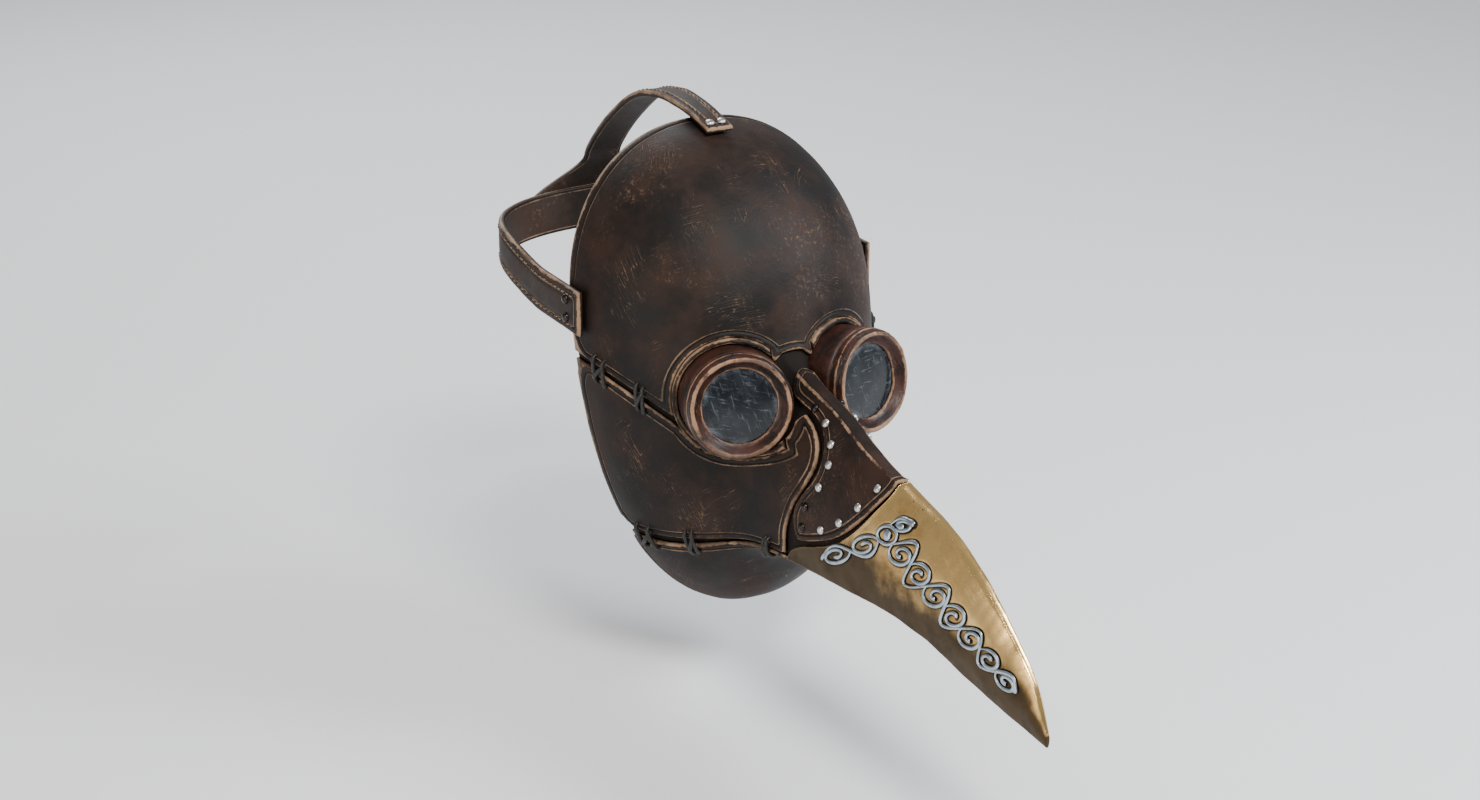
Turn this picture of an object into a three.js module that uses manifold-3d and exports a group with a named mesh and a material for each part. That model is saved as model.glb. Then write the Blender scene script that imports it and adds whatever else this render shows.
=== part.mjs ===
// Plague doctor mask: a leather face shell of laced panels over a stiff lining, two screw-in eyepieces,
// a riveted leather saddle over the root of the beak, a hollow brass beak tip and a three-point strap harness.
//
// Frame, in millimetres: +Z up, the beak points along -Y, +X is the wearer's left. The origin is the middle of
// the head opening. The opening is a flat rim, and its plane leans with the height: y = head.lean * z.
//
// Every panel is a patch of one outer skin. A place on the skin is (station, girth):
//   station  1 at the rim, 0 at the root of the beak, then -1 for each 100 mm along the beak
//   girth    0 along the ridge and the crown, +1 or -1 along the keel and the chin, + on the wearer's left
import * as THREE from "three";
import { mergeVertices } from "three/addons/utils/BufferGeometryUtils.js";
import Module from "manifold-3d";

const wasm = await Module();
wasm.setup();

// ---------------------------------------------------------------- driving dimensions, mm unless said otherwise
const head = {
  halfWidth: 78,
  crown: 86, // rim above the origin
  chin: 150, // rim below the origin
  depth: 77, // rim plane to the flattest part of the face
  lean: 0.2, // mm back for each mm up
  squareness: 2.2, // exponent of the rim's egg
};
const beak = {
  root: 85, // the first section, forward of the rim plane
  length: 214, // first section to the tip
  neck: 95, // forward of this the section follows the beak
  bulge: 0.1, // side's swell as a share of its height
  ridgeFillet: 8, // blend into the face along the ridge and keel
  sideFillet: 11, // blend into the cheeks
  step: 100, // length of one station along the beak
};
// Sections of the beak: share of its length, ridge height, lower edge height, half width at the lower edge,
// half width of the flat ridge, drop of the keel under the lower edges.
const beakSections = [
  [0, -13, -99, 20.5, 4.2, 6],
  [0.164, -19, -96, 19.6, 3.8, 5.5],
  [0.327, -31, -94, 17.4, 3.5, 5],
  [0.481, -38, -93, 14.4, 3.1, 4.5],
  [0.607, -44, -95, 11.8, 2.7, 4],
  [0.748, -57, -103, 8, 2.2, 3],
  [0.864, -74, -109, 4.8, 1.7, 2],
  [0.949, -90, -113, 2.2, 1.2, 1],
  [1, -109, -115.5, 0.8, 0.6, 0.4],
];
const ridgeGirth = 0.06; // girth of the ridge's two creases
const edgeGirth = 0.78; // girth of the two lower edges
const creaseRound = 0.04; // girth over which a layer turns round a crease
// Where each girth meets the rim, as an angle round the opening from the crown, in radians.
const rimAngles = [
  [0, 0],
  [0.06, 0.3],
  [0.2, 0.95],
  [0.42, 1.6],
  [0.62, 2.15],
  [0.78, 2.66],
  [1, Math.PI],
];
const leather = 2.6; // outer panels
const lining = 1.6;
const formerWall = 1.8; // stiff core of the beak
const clearance = 0.3; // between pieces that lie on each other
const bedding = 0.6; // glue line between the panels and the stiff layers under them
const seam = 0.014; // girth between two laced panels, about 2 mm
const liningEnd = -0.12; // station where the lining stops and the beak former starts
const formerEnd = 130; // length of the former from the beak's first section
const brass = {
  wall: 1.4,
  lip: 7, // full thickness behind this distance from the rear edge
  lipRun: 3, // taper from the lip to the wall
  solidTip: 38, // the last stretch before the tip is solid
  band: 6, // overlap of the hollow socket and the solid point
};
const eye = {
  x: 29.4, // axis on the bare face
  z: -25.5,
  standOff: 22.3, // crest of the bezel above the bare face
  splay: 19, // degrees outwards
  tilt: 8, // degrees up
  cupRadius: 25.6,
  cupWall: 4.1,
  bezelInset: 0.2, // the bezel's side inside the cup's
  crestInset: 2, // crest ring inside the cup's side
  bevel: 4, // depth of the outer bevel under the crest
  spigot: 5, // bezel inside the cup
  spigotWall: 2,
  bezelHeight: 8, // bezel outside the cup
  lip: 5.6, // depth of the shoulder that holds the lens
  lipWidth: 1.1, // shoulder over the lens's edge
  glass: 2.2,
  gasketWidth: 2.2,
  gasket: 2.4,
  flangeWidth: 2.5,
  flangeRise: 1.0, // collar above the panels
  noseReach: 19.5, // the collar stops this far towards the nose
};
const strap = {
  width: 22,
  thickness: 3.2,
  tabFront: -16, // forward end of the side tabs
  tabHeight: 6.4,
  bend: 50, // straight as far back as this
  reach: 66, // from there to the back of the head
  backLift: 8,
  squareness: 2.6,
  rivetBack: 12.5, // rivets behind the tab's front end
  rivetRise: 4.6, // each rivet above or below the tab's middle
};
const crownStrap = {
  thickness: 3.2,
  front: -9,
  frontHalf: 7,
  backHalf: 10,
  yokeHalf: 46,
  yokeTop: 34,
  yokeBottom: 5,
  rivetBack: 5, // rivets behind the strap's front end
  rivetHalf: 3.1, // each rivet beside the middle
};
const rivet = { head: 2.1, rise: 1.2, shank: 1.1, crownShare: 0.7, tail: 1.8 };
const lace = { radius: 1.0, reach: 0.045, crown: 1.7, tail: 2.2 };

const PANEL_UNDER = -leather;
const LINING_OVER = -(leather + bedding);
const LINING_UNDER = LINING_OVER - lining;
const FORMER_UNDER = LINING_OVER - formerWall;
const beakTip = beak.root + beak.length;
const cupBore = eye.cupRadius - eye.cupWall;
const spigotRadius = cupBore - clearance;
const lensSeat = spigotRadius - eye.spigotWall;
const lensRadius = lensSeat - clearance;
const sightRadius = lensRadius - eye.lipWidth;

// ---------------------------------------------------------------- curves
/** Smooth monotone curve through [x, y, ...] rows, as a function of x that returns the other values. */
function track(rows) {
  const xs = rows.map((row) => row[0]);
  const width = rows[0].length - 1;
  const slopes = [];
  for (let k = 0; k < width; k++) {
    const steps = xs.slice(1).map((x, i) => (rows[i + 1][k + 1] - rows[i][k + 1]) / (x - xs[i]));
    const slope = xs.map((_, i) => {
      if (i === 0) return steps[0];
      if (i === xs.length - 1) return steps[i - 1];
      if (steps[i - 1] * steps[i] <= 0) return 0;
      return (2 * steps[i - 1] * steps[i]) / (steps[i - 1] + steps[i]);
    });
    slopes.push(slope);
  }
  return (x) => {
    const at = Math.min(Math.max(x, xs[0]), xs[xs.length - 1]);
    let i = 0;
    while (i < xs.length - 2 && at > xs[i + 1]) i++;
    const span = xs[i + 1] - xs[i];
    const t = (at - xs[i]) / span;
    return slopes.map((slope, k) => {
      const a = rows[i][k + 1];
      const b = rows[i + 1][k + 1];
      const between = a * (1 + 2 * t) * (1 - t) ** 2 + b * t * t * (3 - 2 * t);
      return between + span * t * (1 - t) * (slope[i] * (1 - t) - slope[i + 1] * t);
    });
  };
}
const sectionAt = track(beakSections);
const rimAngleAt = track(rimAngles);

const lerp = THREE.MathUtils.lerp;
const clamp = THREE.MathUtils.clamp;
const smoothstep = THREE.MathUtils.smoothstep;

/** max(t, 0) with its corner rounded over the given radius. */
function softPositive(t, radius) {
  return Math.max(t, 0) + radius * Math.log1p(Math.exp(-Math.abs(t) / radius));
}

// ---------------------------------------------------------------- the outer skin
/** Half section of the beak: x and z at a girth of 0 to 1 and a distance forward. */
function beakSection(girth, forward) {
  const [ridge, edge, half, strip, keel] = sectionAt((forward - beak.root) / beak.length);
  if (girth < ridgeGirth) {
    const t = girth / ridgeGirth;
    return [strip * t, ridge + 0.25 * strip * (1 - t * t)];
  }
  if (girth < edgeGirth) {
    const t = (girth - ridgeGirth) / (edgeGirth - ridgeGirth);
    const dx = half - strip;
    const dz = edge - ridge;
    const swell = beak.bulge * 4 * t * (1 - t) * (1 - 0.35 * (t - 0.5));
    return [strip + dx * t - swell * dz, ridge + dz * t + swell * dx];
  }
  const t = (1 - girth) / (1 - edgeGirth);
  return [half * t, edge - keel * (1 - t * t)];
}

/** Rim of the opening, x and z, at an angle from the crown. */
function rimAt(angle) {
  const c = Math.cos(angle);
  const s = Math.sin(angle);
  const height = c >= 0 ? head.crown : head.chin;
  const n = head.squareness;
  const r = (Math.abs(s / head.halfWidth) ** n + Math.abs(c / height) ** n) ** (-1 / n);
  return [r * s, r * c];
}

/** Depth of the bare face in front of the rim plane, at x and z. */
function faceDepth(x, z) {
  const height = z >= 0 ? head.crown : head.chin;
  const n = head.squareness;
  const rho = (Math.abs(x / head.halfWidth) ** n + Math.abs(z / height) ** n) ** (1 / n);
  return head.depth * Math.sqrt(1 - Math.min(rho, 1) ** 2);
}

/** The straight line on which a girth crosses the face: where it leaves the beak, its direction and length. */
function faceRay(girth) {
  const [ox, oz] = beakSection(girth, beak.neck);
  const [rx, rz] = rimAt(rimAngleAt(girth)[0]);
  const length = Math.hypot(rx - ox, rz - oz);
  return { ox, oz, ux: (rx - ox) / length, uz: (rz - oz) / length, length };
}

/** A point of the skin in the upright frame: x, forward of the rim plane, z. */
function uprightSkin(station, girth) {
  const wrapped = ((((girth + 1) % 2) + 2) % 2) - 1;
  const side = wrapped < 0 ? -1 : 1;
  const g = Math.abs(wrapped);
  const ray = faceRay(g);
  const travel = station > 0 ? station * ray.length : station * beak.step;
  const round = lerp(beak.ridgeFillet, beak.sideFillet, Math.sin(Math.PI * g) ** 2);
  const outward = Math.min(softPositive(travel, round), ray.length);
  const onward = station >= 1 ? 0 : softPositive(-travel, round) * Math.min(1, 4 * (1 - station));
  const x = ray.ox + outward * ray.ux;
  const z = ray.oz + outward * ray.uz;
  const forward = (station >= 1 ? 0 : faceDepth(x, z)) + onward;
  const frontal = forward - head.lean * z;
  const [bx, bz] = beakSection(g, Math.max(frontal, beak.neck));
  const shiftX = bx - ray.ox;
  const shiftZ = bz - ray.oz;
  return new THREE.Vector3(side * (x + shiftX), frontal + head.lean * (z + shiftZ), z + shiftZ);
}

/** A point at a height over the skin, + outwards, in the mask's frame. */
function skin(station, girth, over = 0) {
  const p = uprightSkin(station, girth);
  if (over !== 0) {
    const step = 1e-3;
    const middle = Math.min(station, 1 - step);
    const ahead = station >= 1 ? 0.5 * step : step;
    const along = uprightSkin(middle + ahead, girth).sub(uprightSkin(middle - step, girth));
    const round = uprightSkin(station, girth + creaseRound).sub(uprightSkin(station, girth - creaseRound));
    const normal = round.cross(along);
    if (station >= 1) normal.y = 0;
    p.addScaledVector(normal.normalize(), -over);
  }
  return new THREE.Vector3(p.x, -p.y + head.lean * p.z, p.z);
}

/** Station at which a girth of the beak is a distance forward of the origin. */
function stationAt(forward, girth) {
  const g = Math.abs(((((girth + 1) % 2) + 2) % 2) - 1);
  const ray = faceRay(g);
  const start = faceDepth(ray.ox, ray.oz) - head.lean * ray.oz;
  return -(forward - start) / beak.step;
}

// ---------------------------------------------------------------- solids
/** Closed geometry from a list of points and triangles, turned so that its faces point outwards. */
function closedGeometry(points, triangles) {
  let volume = 0;
  for (const [a, b, c] of triangles) {
    volume += points[a].dot(points[b].clone().cross(points[c]));
  }
  const index = triangles.flatMap(([a, b, c]) => (volume < 0 ? [a, c, b] : [a, b, c]));
  const geometry = new THREE.BufferGeometry();
  geometry.setAttribute("position", new THREE.Float32BufferAttribute(points.flatMap((p) => p.toArray()), 3));
  geometry.setIndex(index);
  return geometry;
}

/** Solid sheet between two faces: place(a, b, face) gives a point for a and b in 0 to 1 and face 0 or 1. */
function sheet(columns, rows, place, loop = false) {
  const points = [];
  const across = loop ? columns : columns + 1;
  for (let face = 0; face < 2; face++) {
    for (let j = 0; j <= rows; j++) {
      for (let i = 0; i < across; i++) {
        points.push(place(i / columns, j / rows, face));
      }
    }
  }
  const id = (i, j, face) => face * across * (rows + 1) + j * across + (loop ? i % columns : i);
  const triangles = [];
  const quad = (a, b, c, d) => triangles.push([a, b, c], [a, c, d]);
  for (let j = 0; j < rows; j++) {
    for (let i = 0; i < columns; i++) {
      quad(id(i, j, 1), id(i + 1, j, 1), id(i + 1, j + 1, 1), id(i, j + 1, 1));
      quad(id(i, j, 0), id(i, j + 1, 0), id(i + 1, j + 1, 0), id(i + 1, j, 0));
    }
  }
  for (let i = 0; i < columns; i++) {
    quad(id(i, 0, 0), id(i + 1, 0, 0), id(i + 1, 0, 1), id(i, 0, 1));
    quad(id(i, rows, 0), id(i, rows, 1), id(i + 1, rows, 1), id(i + 1, rows, 0));
  }
  if (!loop) {
    for (let j = 0; j < rows; j++) {
      quad(id(0, j, 0), id(0, j, 1), id(0, j + 1, 1), id(0, j + 1, 0));
      quad(id(columns, j, 0), id(columns, j + 1, 0), id(columns, j + 1, 1), id(columns, j, 1));
    }
  }
  return closedGeometry(points, triangles);
}

/** Solid plug through a row of rings, closed at both ends. */
function plug(columns, rows, place) {
  const points = [];
  for (let j = 0; j <= rows; j++) {
    for (let i = 0; i < columns; i++) points.push(place(i / columns, j / rows));
  }
  const ringStart = (j) => j * columns;
  const middle = (j) => {
    const centre = new THREE.Vector3();
    for (let i = 0; i < columns; i++) centre.add(points[ringStart(j) + i]);
    return centre.divideScalar(columns);
  };
  const first = points.push(middle(0)) - 1;
  const last = points.push(middle(rows)) - 1;
  const triangles = [];
  for (let i = 0; i < columns; i++) {
    const next = (i + 1) % columns;
    for (let j = 0; j < rows; j++) {
      const [a, b] = [ringStart(j) + i, ringStart(j) + next];
      const [c, d] = [ringStart(j + 1) + next, ringStart(j + 1) + i];
      triangles.push([a, b, c], [a, c, d]);
    }
    triangles.push([first, next, i], [last, ringStart(rows) + i, ringStart(rows) + next]);
  }
  return closedGeometry(points, triangles);
}

/** Revolved solid about +Y from a profile of [radius, height] points, closed on itself or on the axis. */
function revolved(profile, segments) {
  const points = profile.map(([r, h]) => new THREE.Vector2(r, h));
  if (points[0].x !== 0) points.push(points[0].clone());
  const geometry = bare(new THREE.LatheGeometry(points, segments));
  const position = geometry.getAttribute("position");
  const corners = [];
  for (let i = 0; i < position.count; i++) corners.push(new THREE.Vector3().fromBufferAttribute(position, i));
  const triangles = [];
  for (let i = 0; i < geometry.index.count; i += 3) {
    const [a, b, c] = [0, 1, 2].map((k) => geometry.index.getX(i + k));
    if (a !== b && b !== c && c !== a) triangles.push([a, b, c]);
  }
  return closedGeometry(corners, triangles);
}

/** Geometry with its shared vertices merged and only its positions kept. */
function bare(geometry) {
  const copy = geometry.clone();
  for (const name of Object.keys(copy.attributes)) if (name !== "position") copy.deleteAttribute(name);
  return mergeVertices(copy, 1e-4);
}

/** Solid of a geometry, placed by a matrix. */
function solid(geometry, matrix = new THREE.Matrix4()) {
  const g = bare(geometry).applyMatrix4(matrix);
  return new wasm.Manifold(
    new wasm.Mesh({
      numProp: 3,
      vertProperties: new Float32Array(g.getAttribute("position").array),
      triVerts: new Uint32Array(g.index.array),
    }),
  );
}
function geometryOf(body) {
  const mesh = body.getMesh();
  const geometry = new THREE.BufferGeometry();
  geometry.setAttribute("position", new THREE.Float32BufferAttribute(mesh.vertProperties, 3));
  geometry.setIndex(Array.from(mesh.triVerts));
  geometry.computeVertexNormals();
  return geometry;
}
function cut(geometry, cutters) {
  return geometryOf(cutters.reduce((body, cutter) => body.subtract(cutter), solid(geometry)));
}

// ---------------------------------------------------------------- finishes
const finishes = {
  leather: () => new THREE.MeshStandardMaterial({ color: 0x33241c, roughness: 0.6 }),
  lining: () => new THREE.MeshStandardMaterial({ color: 0x5a4635, roughness: 0.9 }),
  former: () => new THREE.MeshStandardMaterial({ color: 0x493729, roughness: 0.85 }),
  strap: () => new THREE.MeshStandardMaterial({ color: 0x4a3426, roughness: 0.65 }),
  bezel: () => new THREE.MeshStandardMaterial({ color: 0x4b2a20, roughness: 0.5 }),
  glass: () => new THREE.MeshStandardMaterial({ color: 0x39414c, roughness: 0.2, metalness: 0.1 }),
  rubber: () => new THREE.MeshStandardMaterial({ color: 0x1c1a19, roughness: 0.8 }),
  brass: () => new THREE.MeshStandardMaterial({ color: 0xb08d4f, roughness: 0.3, metalness: 1 }),
  pewter: () => new THREE.MeshStandardMaterial({ color: 0x9fa3a6, roughness: 0.35, metalness: 1 }),
  darkSteel: () => new THREE.MeshStandardMaterial({ color: 0x3a3432, roughness: 0.4, metalness: 1 }),
  cord: () => new THREE.MeshStandardMaterial({ color: 0x15110f, roughness: 0.8 }),
};

const mask = new THREE.Group();
function add(name, geometry, finish) {
  const mesh = new THREE.Mesh(geometry, finishes[finish]());
  mesh.name = name;
  mask.add(mesh);
  return mesh;
}
const sides = [
  ["right", -1],
  ["left", 1],
];

// ---------------------------------------------------------------- eyepieces: placing and cutters
const UP = new THREE.Vector3(0, 1, 0);
const EYE_SEGMENTS = 24;

/** Matrix of an eyepiece: its own +Y is the sight line, and y = 0 is the crest of the bezel. */
function eyePlace(side) {
  const splay = THREE.MathUtils.degToRad(eye.splay);
  const tilt = THREE.MathUtils.degToRad(eye.tilt);
  const sight = new THREE.Vector3(
    side * Math.sin(splay) * Math.cos(tilt),
    -Math.cos(splay) * Math.cos(tilt),
    Math.sin(tilt),
  );
  const foot = new THREE.Vector3(side * eye.x, head.lean * eye.z - faceDepth(eye.x, eye.z), eye.z);
  const crest = foot.addScaledVector(sight, eye.standOff);
  const nose = new THREE.Vector3(-side, 0, 0).addScaledVector(sight, side * sight.x).normalize();
  const matrix = new THREE.Matrix4().makeBasis(nose, sight, nose.clone().cross(sight)).setPosition(crest);
  return { crest, sight, nose, matrix };
}
const eyes = Object.fromEntries(sides.map(([name, side]) => [name, eyePlace(side)]));

const EYE_DEEP = -40; // cutters and blanks run from here
const EYE_FRONT = 14; // to here along the sight line
const CUP_TOP = -(eye.bezelHeight + clearance);
const collarInner = eye.cupRadius + 2 * clearance;
const collarOuter = collarInner + eye.flangeWidth;
const blockWidth = 60;
const noseBlock = new THREE.BoxGeometry(blockWidth, 120, 120).translate(eye.noseReach + blockWidth / 2, 0, 0);

/** Cylinder along an eyepiece's sight line. */
function eyeBore(name, radius) {
  const bore = new THREE.CylinderGeometry(radius, radius, EYE_FRONT - EYE_DEEP, EYE_SEGMENTS);
  return solid(bore.translate(0, (EYE_FRONT + EYE_DEEP) / 2, 0), eyes[name].matrix);
}
const bores = {};
const sockets = {};
for (const [name] of sides) {
  bores[name] = eyeBore(name, eye.cupRadius + clearance);
  const nose = solid(noseBlock, eyes[name].matrix);
  sockets[name] = eyeBore(name, collarOuter + clearance).subtract(nose).add(bores[name]);
}

// ---------------------------------------------------------------- panels
/** Curve through [station, girth] points, as a function of 0 to 1, evenly by length. */
function seamLine(points) {
  const curve = new THREE.SplineCurve(points.map(([s, g]) => new THREE.Vector2(s, g)));
  return (t) => curve.getPointAt(clamp(t, 0, 1));
}
/** Patch between four seam lines. Low and high run with a, start and end run with b. */
function patch(low, high, start, end) {
  const corner = [low(0), low(1), high(0), high(1)];
  return (a, b) => {
    const across = low(a).multiplyScalar(1 - b).addScaledVector(high(a), b);
    const along = start(b).multiplyScalar(1 - a).addScaledVector(end(b), a);
    const flat = new THREE.Vector2()
      .addScaledVector(corner[0], (1 - a) * (1 - b))
      .addScaledVector(corner[1], a * (1 - b))
      .addScaledVector(corner[2], (1 - a) * b)
      .addScaledVector(corner[3], a * b);
    return across.add(along).sub(flat);
  };
}

const upperSeam = 0.49; // girth of the seam from the temple to the eyepiece
const lowerSeam = 0.77; // girth of the seam under the cheek
const foreheadEnd = 0.06; // station of the forehead's end between the eyes
const foreheadSweep = 0.3; // further back at its lower corners
const saddleFoot = 0.66; // girth of the saddle's lower corners

function forehead() {
  const reach = upperSeam - seam / 2;
  return sheet(24, 10, (a, b, face) => {
    const girth = lerp(-reach, reach, a);
    const low = foreheadEnd + foreheadSweep * (girth / reach) ** 2;
    return skin(lerp(low, 1, faceRow(b)), girth, face ? 0 : PANEL_UNDER);
  });
}

/** Front edge of a cheek, from the lower seam up to its point by the eyepiece. */
const cheekFront = [
  [-0.32, lowerSeam - seam / 2],
  [-0.315, 0.66],
  [-0.36, 0.53],
  [-0.425, 0.42],
  [-0.465, 0.31],
  [-0.445, 0.22],
  [-0.375, 0.172],
  [-0.28, 0.15],
];
const cheekTop = [
  [1, upperSeam + seam / 2],
  [0.62, upperSeam + seam],
  [foreheadEnd + foreheadSweep, upperSeam + seam],
  [0.2, 0.455],
  [-0.04, 0.37],
  [-0.14, 0.31],
  [-0.2, 0.235],
  [-0.28, 0.15],
];
function cheek(side) {
  const lowGirth = lowerSeam - seam / 2;
  const field = patch(
    (t) => new THREE.Vector2(lerp(1, cheekFront[0][0], t), lowGirth),
    seamLine(cheekTop),
    (t) => new THREE.Vector2(1, lerp(lowGirth, cheekTop[0][1], t)),
    seamLine(cheekFront),
  );
  return sheet(14, 8, (a, b, face) => {
    const { x: station, y: girth } = field(a ** 1.5, b);
    return skin(a === 0 ? 1 : station, side * girth, face ? 0 : PANEL_UNDER);
  });
}

function chin() {
  const reach = 1 - lowerSeam - seam / 2;
  const front = cheekFront[0][0];
  return sheet(12, 7, (a, b, face) =>
    skin(lerp(front, 1, Math.sin((b * Math.PI) / 2)), 1 + lerp(-reach, reach, a), face ? 0 : PANEL_UNDER),
  );
}

/** Rear edge of the saddle on one side, from the ridge down to its lower corner. */
const saddleRear = [
  [-0.07, 0],
  [-0.09, 0.05],
  [-0.15, 0.12],
  [-0.31, 0.125],
  [-0.41, 0.14],
  [-0.48, 0.19],
  [-0.505, 0.28],
  [-0.48, 0.37],
  [-0.42, 0.46],
  [-0.385, 0.54],
  [-0.392, 0.61],
  [-0.425, saddleFoot],
];
/** Front edge of the saddle on one side, from the ridge down to its lower corner. */
const saddleFront = [
  [-1.0, 0],
  [-0.99, 0.08],
  [-0.92, 0.25],
  [-0.82, 0.42],
  [-0.68, 0.56],
  [-0.52, 0.64],
  [-0.455, saddleFoot],
];
function bothSides(half) {
  const mirrored = half.slice(1).map(([s, g]) => [s, -g]);
  return [...mirrored.reverse(), ...half];
}
const saddleFrontAt = track(saddleFront.map(([station, girth]) => [girth, station]));
function saddle() {
  const rear = seamLine(bothSides(saddleRear));
  const front = (t) => {
    const girth = lerp(-saddleFoot, saddleFoot, t);
    return new THREE.Vector2(saddleFrontAt(Math.abs(girth))[0], girth);
  };
  const joint = (sign) => {
    const from = saddleRear[saddleRear.length - 1];
    const to = saddleFront[saddleFront.length - 1];
    return (t) => new THREE.Vector2(lerp(from[0], to[0], t), sign * lerp(from[1], to[1], t));
  };
  const field = patch(rear, front, joint(-1), joint(1));
  return sheet(32, 6, (a, b, face) => {
    const { x: station, y: girth } = field(a, b);
    return skin(station, girth, face ? 0 : PANEL_UNDER);
  });
}

/** Rear edge of the brass tip: a station for each girth, one groove in front of the saddle and the panels. */
const groove = 0.02;
const brassRear = track([
  ...saddleFront.map(([station, girth]) => [girth * (1 + 1.6 * groove), station - groove]),
  [lowerSeam - 0.03, cheekFront[0][0] - 2.5 * groove],
  [lowerSeam + 0.03, cheekFront[0][0] - groove],
  [1, cheekFront[0][0] - groove],
]);
const TIP_GIRTHS = 28;
/** Girths round the beak, with a line on each crease. */
const girthSteps = track([
  [0, 0],
  [2 / TIP_GIRTHS, ridgeGirth],
  [1 - 6 / TIP_GIRTHS, edgeGirth],
  [1, 1],
]);
function roundGirth(a) {
  return a <= 0.5 ? girthSteps(a * 2)[0] : 2 - girthSteps(2 - a * 2)[0];
}
/** Hollow socket that tapers into a solid point. Both share the band of skin where the hollow ends. */
function brassTip() {
  const bandStart = beakTip - brass.solidTip;
  const bandEnd = bandStart + brass.band;
  const rear = (girth) => brassRear(Math.abs(girth > 1 ? girth - 2 : girth))[0];
  const rows = 9;
  const socket = sheet(
    TIP_GIRTHS,
    rows,
    (a, b, face) => {
      const girth = roundGirth(a);
      const hollowEnd = stationAt(bandStart, girth);
      const station = b === 1 ? stationAt(bandEnd, girth) : lerp(rear(girth), hollowEnd, (b * rows) / (rows - 1));
      const pastLip = smoothstep((rear(girth) - station) * beak.step, brass.lip, brass.lip + brass.lipRun);
      return skin(station, girth, face ? 0 : -lerp(leather, brass.wall, pastLip));
    },
    true,
  );
  const pointRows = 6;
  const point = plug(TIP_GIRTHS, pointRows, (a, b) => {
    const girth = roundGirth(a);
    const solidPart = (b * pointRows - 1) / (pointRows - 1);
    const station = b === 0 ? bandStart : lerp(bandEnd, beakTip, solidPart);
    return skin(stationAt(station, girth), girth);
  });
  return geometryOf(solid(socket).add(solid(point)));
}

// ---------------------------------------------------------------- lining, beak former and the space inside
const FACE_GIRTHS = 36;
const formerGap = 0.012; // station between the lining and the former
const cavityEnd = -0.9;
/** Share of the way from the beak to the rim, with close rows in the fillet and at the rim. */
function faceRow(b) {
  return (1 - Math.cos(b * Math.PI)) / 2;
}
function liningShell() {
  return sheet(
    FACE_GIRTHS,
    11,
    (a, b, face) => skin(lerp(liningEnd, 1, faceRow(b)), 2 * a, face ? LINING_OVER : LINING_UNDER),
    true,
  );
}
function beakFormer() {
  const start = liningEnd - formerGap;
  return sheet(
    TIP_GIRTHS,
    7,
    (a, b, face) => {
      const girth = roundGirth(a);
      const station = lerp(start, stationAt(beak.root + formerEnd, girth), b);
      return skin(station, girth, face ? LINING_OVER : FORMER_UNDER);
    },
    true,
  );
}
/** The hollow behind the lining, as a solid to cut with. */
function cavity() {
  return plug(FACE_GIRTHS, 14, (a, b) =>
    skin(lerp(cavityEnd, 1, Math.sin((b * Math.PI) / 2)), 2 * a, LINING_UNDER - clearance),
  );
}

// ---------------------------------------------------------------- rivets and laces
/** Revolved rivet: +Y out of the work, y = 0 on the face it clamps. */
function rivetShape(grip) {
  return revolved(
    [
      [0, -grip],
      [rivet.shank, -grip],
      [rivet.shank, clearance],
      [rivet.head, clearance],
      [rivet.head * rivet.crownShare, clearance + rivet.rise],
      [0, clearance + rivet.rise],
    ],
    7,
  );
}
/** Hole for a rivet, longer than its grip at both ends. */
function rivetHole(grip, matrix) {
  const radius = rivet.shank + clearance;
  const hole = new THREE.CylinderGeometry(radius, radius, grip + 8, 5);
  return solid(hole.translate(0, -grip / 2, 0), matrix);
}
function rivetPlace(point, outward) {
  const turn = new THREE.Quaternion().setFromUnitVectors(UP, outward);
  return new THREE.Matrix4().compose(point, turn, new THREE.Vector3(1, 1, 1));
}
/** Rivets of one side of the saddle: round its rear edge, along its foot and up its front edge. */
const saddleRivets = [
  [-0.33, 0.105],
  [-0.44, 0.118],
  [-0.525, 0.165],
  [-0.56, 0.24],
  [-0.54, 0.36],
  [-0.47, 0.49],
  [-0.465, 0.59],
  [-0.61, 0.54],
  [-0.73, 0.44],
  [-0.83, 0.3],
  [-0.905, 0.15],
];
const rivets = [];
for (const [name, side] of sides) {
  saddleRivets.forEach(([station, girth], i) => {
    const point = skin(station, side * girth);
    const outward = skin(station, side * girth, 1).sub(point).normalize();
    const place = rivetPlace(point, outward);
    rivets.push({ name: `saddle_rivet_${name}_${i + 1}`, grip: leather, place, on: "saddle" });
  });
}

const strapInner = head.halfWidth + clearance;
const tabGrip = strap.thickness + clearance - LINING_UNDER + rivet.tail;
for (const [name, side] of sides) {
  [strap.rivetRise, -strap.rivetRise].forEach((rise, i) => {
    const x = side * (strapInner + strap.thickness);
    const point = new THREE.Vector3(x, strap.tabFront + strap.rivetBack, strap.tabHeight + rise);
    const place = rivetPlace(point, new THREE.Vector3(side, 0, 0));
    rivets.push({ name: `tab_rivet_${name}_${i + 1}`, grip: tabGrip, place, on: "tab" });
  });
}

const laces = [];
// Row, station and girth of the laces on one side.
const laceSpots = [
  ["upper", 0.94, upperSeam],
  ["upper", 0.76, upperSeam],
  ["lower", 0.93, lowerSeam],
  ["lower", 0.6, lowerSeam],
  ["lower", -0.18, lowerSeam],
];
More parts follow.
